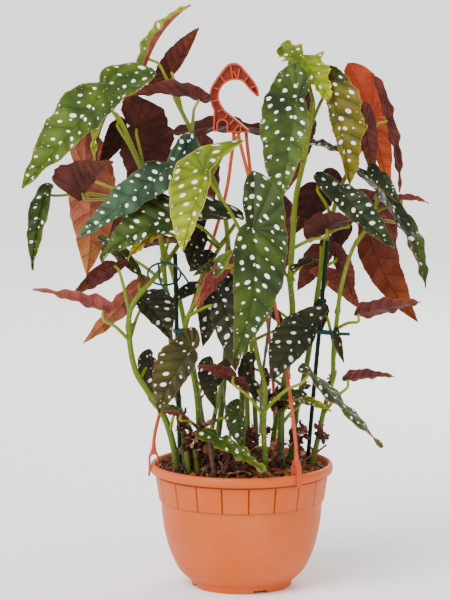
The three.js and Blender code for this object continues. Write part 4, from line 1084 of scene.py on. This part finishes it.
def soilLook():
    look = Finish("potting soil")
    dark, light, wet = (linear(color) for color in soil["tones"])
    clod = look.noise(150, 6)
    tone = look.mix((clod - 0.3) * 2.2, dark, light)
    tone = look.mix((look.noise(30, 3) - 0.5) * 2, tone, wet)
    return look.feed(color=tone, roughness=0.9, normal=look.bump(clod, 1.0, 0.004))


def heightOfSoil(x, y):
    # broad swells and finer ones, a little above the solid's flat top
    return (soilZ + 0.0016 * math.sin(x * 130 + 1) * math.cos(y * 110) + 0.0012 * math.sin(x * 290 + y * 210)
            + 0.001)


def addChip(shape, draw):
    r = soil["chipsWithin"] * math.sqrt(draw.random())
    a = draw.uniform(0, 6.28)
    x, y = r * math.cos(a), r * math.sin(a)
    size = tuple(draw.uniform(*limits) for limits in soil["chipSize"])
    tilt = soil["chipTilt"]
    spin = Matrix.Rotation(draw.uniform(0, 6.28), 4, "Z") @ Matrix.Rotation(draw.uniform(-tilt, tilt), 4, "Y")
    spin = spin @ Matrix.Rotation(draw.uniform(-tilt, tilt), 4, "X")
    where = Matrix.Translation((x, y, heightOfSoil(x, y) + draw.uniform(0.0, soil["chipLift"])))
    shape.block(size, where @ spin, draw.choice(soil["chipChoice"]))


def makeSoil():
    rings, sides = soil["rings"], soil["sides"]
    draw = random.Random(soil["seed"])
    turns = [360 * k / sides for k in range(sides)]
    points = [(0, 0, heightOfSoil(0, 0))]
    for i in range(1, rings + 1):
        for a in turns:
            x, y, _ = around(a, soil["radius"] * i / rings, 0)
            points.append((x, y, heightOfSoil(x, y) + draw.uniform(-soil["rough"], soil["rough"])))
    points += [around(a, r, z) for r, z in soil["below"] for a in turns]
    points.append((0, 0, soil["below"][-1][1]))
    faces = [(0, 1 + k, 1 + (k + 1) % sides) for k in range(sides)]
    for i in range(rings + 1):
        for k in range(sides):
            a, b = 1 + i * sides + k, 1 + i * sides + (k + 1) % sides
            faces.append((a, a + sides, b + sides, b))
    last = 1 + (rings + 1) * sides
    faces += [(last + k, len(points) - 1, last + (k + 1) % sides) for k in range(sides)]
    shape = Shape().add(points, faces)
    for _ in range(soil["chips"]):
        addChip(shape, draw)
    looks = [soilLook(), *(papery("bark chip " + name, *tones) for name, tones in soil["chipTones"].items())]
    shape.piece("soil_fill", looks, "soil", "soil", 35)


makeSoil()
print("soil made")

# Dry bracts in bunches at the feet of the canes (mm), twigs, and the stems that stand behind them

bunches = [  # centre, how far they spread, how many, how long and wide
    ((-66, -42, 172), 2.5, 12, 7, 4.4), ((-54, -42, 167), 3, 26, 9, 2.8), ((-53, -41, 156), 3.5, 20, 8, 5),
    ((-48, -42, 148), 4.5, 30, 8, 4.6), ((-42, -42, 141), 5, 30, 8, 4.6), ((-36, -42, 156), 3, 14, 8, 4),
    ((-28, -36, 160), 2, 6, 8, 3), ((-34, -44, 128), 7, 40, 9, 5), ((-18, -48, 122), 8, 40, 9, 5),
    ((-8, -34, 124), 8, 30, 9, 5), ((9, -30, 147), 5, 34, 9, 5), ((8, -28, 134), 7, 40, 9, 5),
    ((24, -34, 150), 2.5, 16, 8, 4.6), ((27, -12, 178), 4.5, 34, 10, 5.4), ((37, -11, 177), 4.5, 40, 11, 5.4),
    ((45, -8, 174), 3, 18, 8, 5), ((22, -46, 202), 2.5, 12, 9, 5), ((60, -6, 187), 2, 10, 7, 4.4),
    ((51, -8, 136), 5, 44, 10, 5), ((56, -6, 146), 3, 20, 10, 3.6), ((71, -4, 149), 2, 12, 8, 3.6),
    ((75, -8, 141), 4, 26, 9, 4.8), ((82, -6, 195), 1.5, 6, 6, 3.6), ((30, -18, 120), 10, 50, 9, 5),
    ((5, 8, 120), 12, 40, 9, 5), ((-46, -36, 125), 6, 46, 10, 5), ((-50, -38, 136), 4, 30, 9, 5),
    ((-20, -46, 118), 8, 46, 10, 5.4), ((-4, -52, 116), 9, 30, 9, 5), ((-30, -36, 136), 5, 24, 9, 4.6),
    ((-56, -50, 112), 6, 20, 8, 4), ((-34, -60, 112), 5, 20, 8, 4),
]
twigs = [  # points, radius, and which of the litter's tones
    ([(50, -32, 119), (58, -33, 124), (68, -31, 130), (78, -28, 137)], 1.1, 1),
    ([(42, -40, 108), (50, -36, 116), (56, -34, 121)], 0.8, 1),
    ([(17, -40, 150), (18, -44, 196), (21, -47, 222), (25, -46, 252), (27, -42, 272)], 1.4, 4),
]
innerStems = [((6, 18), 2.9, (4, 62, 212)), ((14, 36), 2.7, (8, 63, 240)), ((29, 16), 3.0, (43, -4, 212)),
              ((-30, 8), 2.6, (-16, 28, 200))]  # foot, radius, top
litter = {
    "seed": 11,
    "tones": {  # light, dark
        "dry husk rust": ((172, 104, 78), (110, 58, 44)),
        "dry husk dark": ((112, 58, 48), (52, 26, 22)),
        "dry husk brown": ((86, 50, 36), (40, 24, 18)),
        "dry husk pale": ((206, 164, 140), (150, 98, 80)),
        "dry stem grey": ((150, 138, 120), (98, 88, 76)),
    },
    "choice": (0, 1, 1, 2, 2, 2, 3),  # the darker ones more often
    "scatter": (0.5, 0.4, 0.7),
    "length": (0.6, 1.1),  # times the bunch's own
    "width": (0.6, 1.2),
    "steps": 7,
    "climb": (-0.7, 1.4),
    "curl": (0.5, 2.2),
}


def addBract(shape, root, turned, length, width, draw, look):
    # a dry bract springs out from its stem and curls
    out = np.array((math.cos(turned), math.sin(turned), 0))
    climb = draw.uniform(*litter["climb"])
    curl = draw.uniform(*litter["curl"]) * draw.choice((-1, 1))
    steps = litter["steps"]
    points = [root]
    for i in range(steps):
        slope = climb + curl * i / steps
        step = out * math.cos(slope) + np.array((0, 0, math.sin(slope)))
        points.append(points[-1] + step * length / steps)
    shape.tube(points, lambda s: width / 2 * (0.8 + 0.6 * s) * (1 - s ** 4 * 0.75), 8, look, 0.13,
               (-out[1], out[0], 0.3))


def makeLitter():
    draw = random.Random(litter["seed"])
    shape = Shape()
    for centre, spread, count, length, width in bunches:
        for _ in range(count):
            offset = np.array([draw.gauss(0, far) for far in litter["scatter"]]) * spread
            root = (np.array(centre) + offset) * mm
            long = length * mm * draw.uniform(*litter["length"])
            turned = draw.uniform(0, 6.28)
            wide = width * mm * draw.uniform(*litter["width"])
            addBract(shape, root, turned, long, wide, draw, draw.choice(litter["choice"]))
    for points, radius, look in twigs:
        path = smoothPath(np.array(points) * mm, 0.0015)
        shape.tube(path, lambda s: radius * mm * (1 + 0.25 * math.sin(s * 23) * math.sin(s * 41)), 8, look)
    looks = [papery(name, *tones) for name, tones in litter["tones"].items()]
    shape.piece("dry_litter", looks, "twig", None, 50)


def makeInnerStems():
    shape = Shape()
    for (x, y), radius, top in innerStems:
        foot = [(x * mm, y * mm, soilZ + up) for up in (-0.01, 0.02)]
        path = smoothPath([*foot, np.array(top) * mm], 0.004)
        shape.tube(path, lambda s: radius * mm * (1 - 0.3 * s), 12)
    shape.piece("inner_stems", [caneLook], "cane", None, 50)


makeLitter()
makeInnerStems()
print("litter made")

# Sticks and stubs, in mm

sticks = {  # radius, foot, top, slot
    "stake_left": (2.0, (-57, -38), (-61, -38, 316), "stake"),
    "stake_right": (2.0, (62, 12), (79, -4, 324), "stake"),
    "dry_twig": (1.0, (-6, -34), (-19, -31, 198), "twig"),
}
stubs = [  # foot, radius, top, kind
    ((-48, -46), 2.6, 134, "green"), ((-40, -42), 2.9, 136, "green"), ((-25, -58), 2.3, 146, "dry"),
]
stickTones = {
    "stake": ((10, 26, 14), (18, 46, 26)),
    "twig": ((168, 156, 138), (110, 98, 84)),
    "cut": ((206, 196, 150), (150, 128, 84)),
    "stub": ((58, 66, 26), (92, 100, 44), (92, 56, 36)),
    "bark": ((140, 88, 66), (74, 42, 32)),
}


def coated(name, tones, scale, rough, strength, specular):
    # a thin even coat, a little grainy
    look = Finish(name)
    grain = look.noise(scale, 3)
    dark, light = (linear(color) for color in tones)
    return look.feed(color=look.mix(grain, dark, light), roughness=rough, specular=specular,
                     normal=look.bump(grain, strength, 0.0004))


def makeSticks():
    looks = {"stake": coated("stake coating", stickTones["stake"], 400, 0.5, 0.3, 0.15),
             "twig": papery("dry twig", *stickTones["twig"])}
    uneven = {"stake": lambda s: 0.06 * math.sin(s * 900),  # ribs
              "twig": lambda s: 0.2 * math.sin(s * 70) ** 3}  # nodes
    for name, (radius, (x, y), top, slot) in sticks.items():
        foot = [(x * mm, y * mm, z) for z in (standZ, soilZ - 0.005, soilZ + 0.004)]
        path = smoothPath([*foot, np.array(top) * mm], 0.0012)
        shape = Shape().tube(path, lambda s: radius * mm * (1 + uneven[slot](s)), 12)
        shape.piece(name + "_rod", [looks[slot]], slot, name, 50)


def makeStubs():
    cutLook = papery("cut stem end", *stickTones["cut"])
    looks = {"green": stemSkin("stub skin", *stickTones["stub"]),
             "dry": papery("dry stub", *stickTones["bark"])}
    for i, ((x, y), radius, top, kind) in enumerate(stubs):
        x, y = x * mm, y * mm
        lump = 0.12 if kind == "dry" else 0
        path = [(x - 0.12 * max(0, z - soilZ), y, z) for z in np.linspace(standZ, top * mm, 40)]
        shape = Shape().tube(path, lambda s: radius * mm * (1.06 - 0.12 * s + lump * math.sin(s * 60)), 12)
        shape.looks[-1] = 1  # the cut
        shape.piece(f"stub_{i + 1}", [looks[kind], cutLook], "cane", f"stem_stub_{i + 1}", 50)


makeSticks()
makeStubs()
print("sticks made")

# Hanger

eye = Vector((-0.006, 0, 0.457))
hanger = {
    "color": (224, 108, 84),
    # painted shade: the same plastic, darker, for the floor of the recessed pockets
    "recess": (166, 74, 58),
    "depth": 0.008,
    "web": 0.002,
    "strand": 0.0017,  # radius
    "strandEnd": 0.03,  # the last share of its run, where it widens into the clip
}
hook = {  # across and up from the eye's centre, mm; angles in degrees round it
    "top": [(22, 0), (21, 6.5), (16.5, 14.5), (9.5, 23), (4, 29), (-2.5, 30.5), (-7, 29), (-14, 21),
            (-19.5, 13), (-23, 6.5), (-23.5, -1.5), (-22, -8.5), (-20, -13)],
    "ribs": [192, 158, 126, 99, 82, 58, 28],
    "ribFrom": 15.5,  # the eye's radius and a little more
    "ribTo": 21.2,
    "ribPeak": (98, 7.5, 40),  # where ribs reach furthest, how much further, and how far round
    "struts": [((-2, 23), (2.5, 15.3)), ((-16.6, -14.4), (-12.6, -12)), ((-9.6, -20), (-7, -15.8)),
               ((-5.6, -26), (-1, -21)), ((-2, -32.5), (3.6, -26)), ((4.9, -32.5), (4.6, -26.5))],
    "rib": 1.3,
    "lip": 1.6,
}
hangerLook = potPlastic("hanger plastic", hanger["color"], 0.34, 0.1)
# a darker copy of the hanger plastic, as painted shade in the recesses
recessShadeLook = potPlastic("hanger plastic, painted recess shade", hanger["recess"], 0.5, 0.0)


def hookOutline():
    top = smoothPath([(x, z, 0) for x, z in hook["top"]], 1.2)
    foot = [(-20.5, -32.5), (-16, -32.5), *arc(-12, -26, 4, 180, 0, 9), (-8, -33.5), (12.5, -33.5),
            (12.5, -31), (0, -20.5), (-9.5, -13)]
    inner = [*arc(0, 0, 15, 213, 63, 26), (13, 6), (19.3, 0)]
    return [Vector(p) * mm for p in [*((x, z) for x, z, _ in top), *foot, *inner]]


def addLip(shape, edges, stand):
    # a raised lip along the outline; its inner edge is kept parallel at the corners
    steps = [b - a for a, b in zip(edges, edges[1:] + edges[:1])]
    inset = []
    for a, before, after in zip(edges, steps[-1:] + steps[:-1], steps):
        bisector = Vector((-before.y, before.x)).normalized() + Vector((-after.y, after.x)).normalized()
        inset.append(a + bisector * (2 * hook["lip"] * mm / max(1.6, bisector.length_squared)))
    for i, a in enumerate(edges):
        j = (i + 1) % len(edges)
        shape.slab([tuple(q) for q in (a, edges[j], inset[j], inset[i])], hanger["depth"], stand)


def makeHook():
    edges = hookOutline()
    stand = Matrix.Translation(eye) @ turn(90, "X")
    # the web between the lips and ribs takes the painted recess shade
    shape = Shape().slab([tuple(p) for p in edges], hanger["web"], stand, 1)
    addLip(shape, edges, stand)
    thick, depth = hook["rib"] * mm, hanger["depth"] * 0.94
    peak, more, within = hook["ribPeak"]
    for turned in hook["ribs"]:
        near = hook["ribFrom"] * mm
        far = (hook["ribTo"] + more * max(0, 1 - abs(turned - peak) / within)) * mm
        spot = stand @ turn(turned, "Z")
        shape.block((far - near, thick, depth), spot @ Matrix.Translation(((far + near) / 2, 0, 0)))
    for a, b in hook["struts"]:
        a, b = Vector(a) * mm, Vector(b) * mm
        run = b - a
        spot = stand @ Matrix.Translation((*((a + b) / 2), 0))
        shape.block((run.length, thick, depth), spot @ turn(math.degrees(math.atan2(run.y, run.x)), "Z"))
    shape.piece("hanger_hook_moulding", [hangerLook, recessShadeLook], "hanger", "hanger_hook", 40)


# Strands: the clip's turn round the pot, and points in mm; the first two hang below the hook

strands = {
    "left": (-83, [(-7.5, 0, 0), (-7.5, 0, -5), (-10, -1, 398), (-15, -3, 366), (-50, -8, 250)]),
    "front": (37, [(-3, -2, 0), (-2.5, -2, -5), (9, -12, 372), (29, -38, 275), (41, -54, 208)]),
    "back": (157, [(4, 2, 0), (4.3, 2, -5), (10, 14, 369), (21, 42, 270), (29, 62, 200)]),
}
strandTop = 0.03385  # below the eye
clip = {  # m
    "width": 0.005,
    "thickness": 0.0018,
    "outerLeg": 0.0115,
    "innerLeg": 0.006,
    "arch": 0.006,
    "gap": 0.00035,  # outside the rim
    "span": 0.006,
    "bevel": 0.0003,
}


def clipOutline(middle, half, crownZ):
    outer, inner = middle + half, middle - half
    archZ = potHeight + clip["arch"]
    shoulderZ = archZ + 0.0015
    outerEnd, innerEnd = potHeight - clip["outerLeg"], potHeight - clip["innerLeg"]
    t = clip["thickness"]
    return [(outer + t * 0.4, outerEnd), (outer + t * 1.3, outerEnd + 0.0003),
            (outer + t * 1.25, outerEnd + 0.002), (outer + t, outerEnd + 0.0045), (outer + t, shoulderZ),
            (outer + t - 0.0012, shoulderZ + 0.0022), (middle + 0.0024, crownZ), (middle - 0.0024, crownZ),
            (inner - t + 0.0012, shoulderZ + 0.0022), (inner - t, shoulderZ), (inner - t, innerEnd),
            (inner, innerEnd), *arc(middle, archZ, half, 180, 0, 13), (outer, outerEnd + 0.004)]


def bevelled(piece, width):
    bevel = piece.modifiers.new("bevel", "BEVEL")
    bevel.width = width
    bevel.segments = 2
    bevel.limit_method = "ANGLE"
    bevel.angle_limit = math.radians(35)


def makeStrand(name):
    turned, points = strands[name]
    foot = eye.z - strandTop
    path = [(x * mm, y * mm, z * mm if z > 0 else foot + z * mm) for x, y, z in points]
    half = clip["span"] / 2
    middle = rimRadius + clip["gap"] - half
    crownZ = potHeight + clip["arch"] + half + 0.0045
    path += [around(turned, middle - 0.001, crownZ + 0.014), around(turned, middle, crownZ - 0.002)]
    end = hanger["strandEnd"]
    shape = Shape().tube(smoothPath(path, 0.004),
                         lambda s: hanger["strand"] * (1 + 0.5 * max(0, s - 1 + end) / end), 10)
    shape.slab(clipOutline(middle, half, crownZ), clip["width"], turn(turned - 90, "Z") @ turn(90, "X"))
    made = shape.piece("hanger_" + name + "_strand", [hangerLook], "hanger", "hanger_strand_" + name, 40)
    bevelled(made, clip["bevel"])


makeHook()
for name in strands:
    makeStrand(name)
print("hanger made")

# Plant ties, in mm: a wire ring, and two flat strips that each hold a cane to a stake

ties = {
    "color": ((6, 62, 58), (16, 96, 88)),
    "wire": 1.0,  # radius
    "ring": ((-71, -39, 297.5), 15, -50),  # centre, radius, tilt in degrees
    "tails": ([(-60, -45.5, 305.5), (-53, -50, 297.5), (-49, -51, 291.5)],
              [(-76, -47.8, 308.5), (-74, -52, 291.5), (-67, -51, 280.5)]),
    "strip": (3.4, 1.0),  # height and thickness
    "slack": 0.5,
}
tieLoops = {  # two posts (x, y, radius), height, and the tail: where it starts, its turn and length
    "tie_low": ([(-59.7, -38, 2), (-47.8, -35, 2.2)], 245, ((-49, -38.6), -20, 9)),
    "tie_right": ([(71.8, 2.6, 2), (86.8, -7.1, 2.1)], 238, ((86, -10.6), -8, 14)),
}
tieLook = coated("tie plastic", ties["color"], 300, 0.45, 0.2, 0.3)


def makeWireTie():
    centre, radius, tilt = ties["ring"]
    spin = Matrix.Rotation(math.radians(tilt), 3, "X")
    ring = [np.array(Vector(centre) + spin @ Vector((radius * math.cos(a), radius * math.sin(a), 0))) * mm
            for a in np.linspace(0, 2 * math.pi, 49)]
    shape = Shape().tube(ring, ties["wire"] * mm, 8)
    for tail in ties["tails"]:
        shape.tube(smoothPath(np.array(tail) * mm, 0.001), ties["wire"] * mm, 8)
    shape.piece("tie_wire_loop", [tieLook], "tie", "tie_wire", 50)


def lineRound(posts, outside):
    # the line round two posts, at a distance outside them
    (x1, y1, r1), (x2, y2, r2) = posts
    run = math.atan2(y2 - y1, x2 - x1)
    lean = math.acos((r1 - r2) / math.hypot(x2 - x1, y2 - y1))
    line = []
    for x, y, r, start, stop in ((x1, y1, r1, run + lean, run + 2 * math.pi - lean),
                                 (x2, y2, r2, run - lean, run + lean)):
        line += arc(x, y, r + outside, math.degrees(start), math.degrees(stop), 15)
    return [(x * mm, y * mm) for x, y in line]


def makeStripTie(name):
    posts, z, (start, turned, length) = tieLoops[name]
    high, thick = (c * mm for c in ties["strip"])
    outside = lineRound(posts, ties["slack"] + ties["strip"][1])
    inside = lineRound(posts, ties["slack"])
    count = len(outside)
    points = [(x, y, z * mm + lift) for lift in (-high / 2, high / 2) for x, y in outside + inside]
    top = 2 * count
    faces = []
    for i in range(count):
        j = (i + 1) % count
        faces += [(i, j, top + j, top + i), (count + j, count + i, top + count + i, top + count + j),
                  (top + i, top + j, top + count + j, top + count + i), (j, i, count + i, count + j)]
    shape = Shape().add(points, faces)
    spot = Matrix.Translation((start[0] * mm, start[1] * mm, z * mm)) @ turn(turned, "Z")
    shape.block((length * mm, thick, high - 0.0004), spot @ Matrix.Translation((length * mm / 2, 0, 0)))
    shape.piece(name + "_strip", [tieLook], "tie", name, 50)


makeWireTie()
for name in tieLoops:
    makeStripTie(name)
print("ties made")

# Floor

ground = {"reach": 60, "dark": (0.95, 0.95, 0.95, 1), "light": (0.97, 0.97, 0.97, 1)}


def makeFloor():
    look = Finish("pale floor")
    reach = ground["reach"]
    mesh = bpy.data.meshes.new("floor")
    mesh.from_pydata([(-reach, -reach, 0), (reach, -reach, 0), (reach, reach, 0), (-reach, reach, 0)], [],
                     [(0, 1, 2, 3)])
    mesh.materials.append(look.feed(color=look.mix(look.noise(2, 2), ground["dark"], ground["light"]),
                                    roughness=0.9))
    put("floor", mesh)


makeFloor()
print("floor made")

bpy.context.view_layer.update()
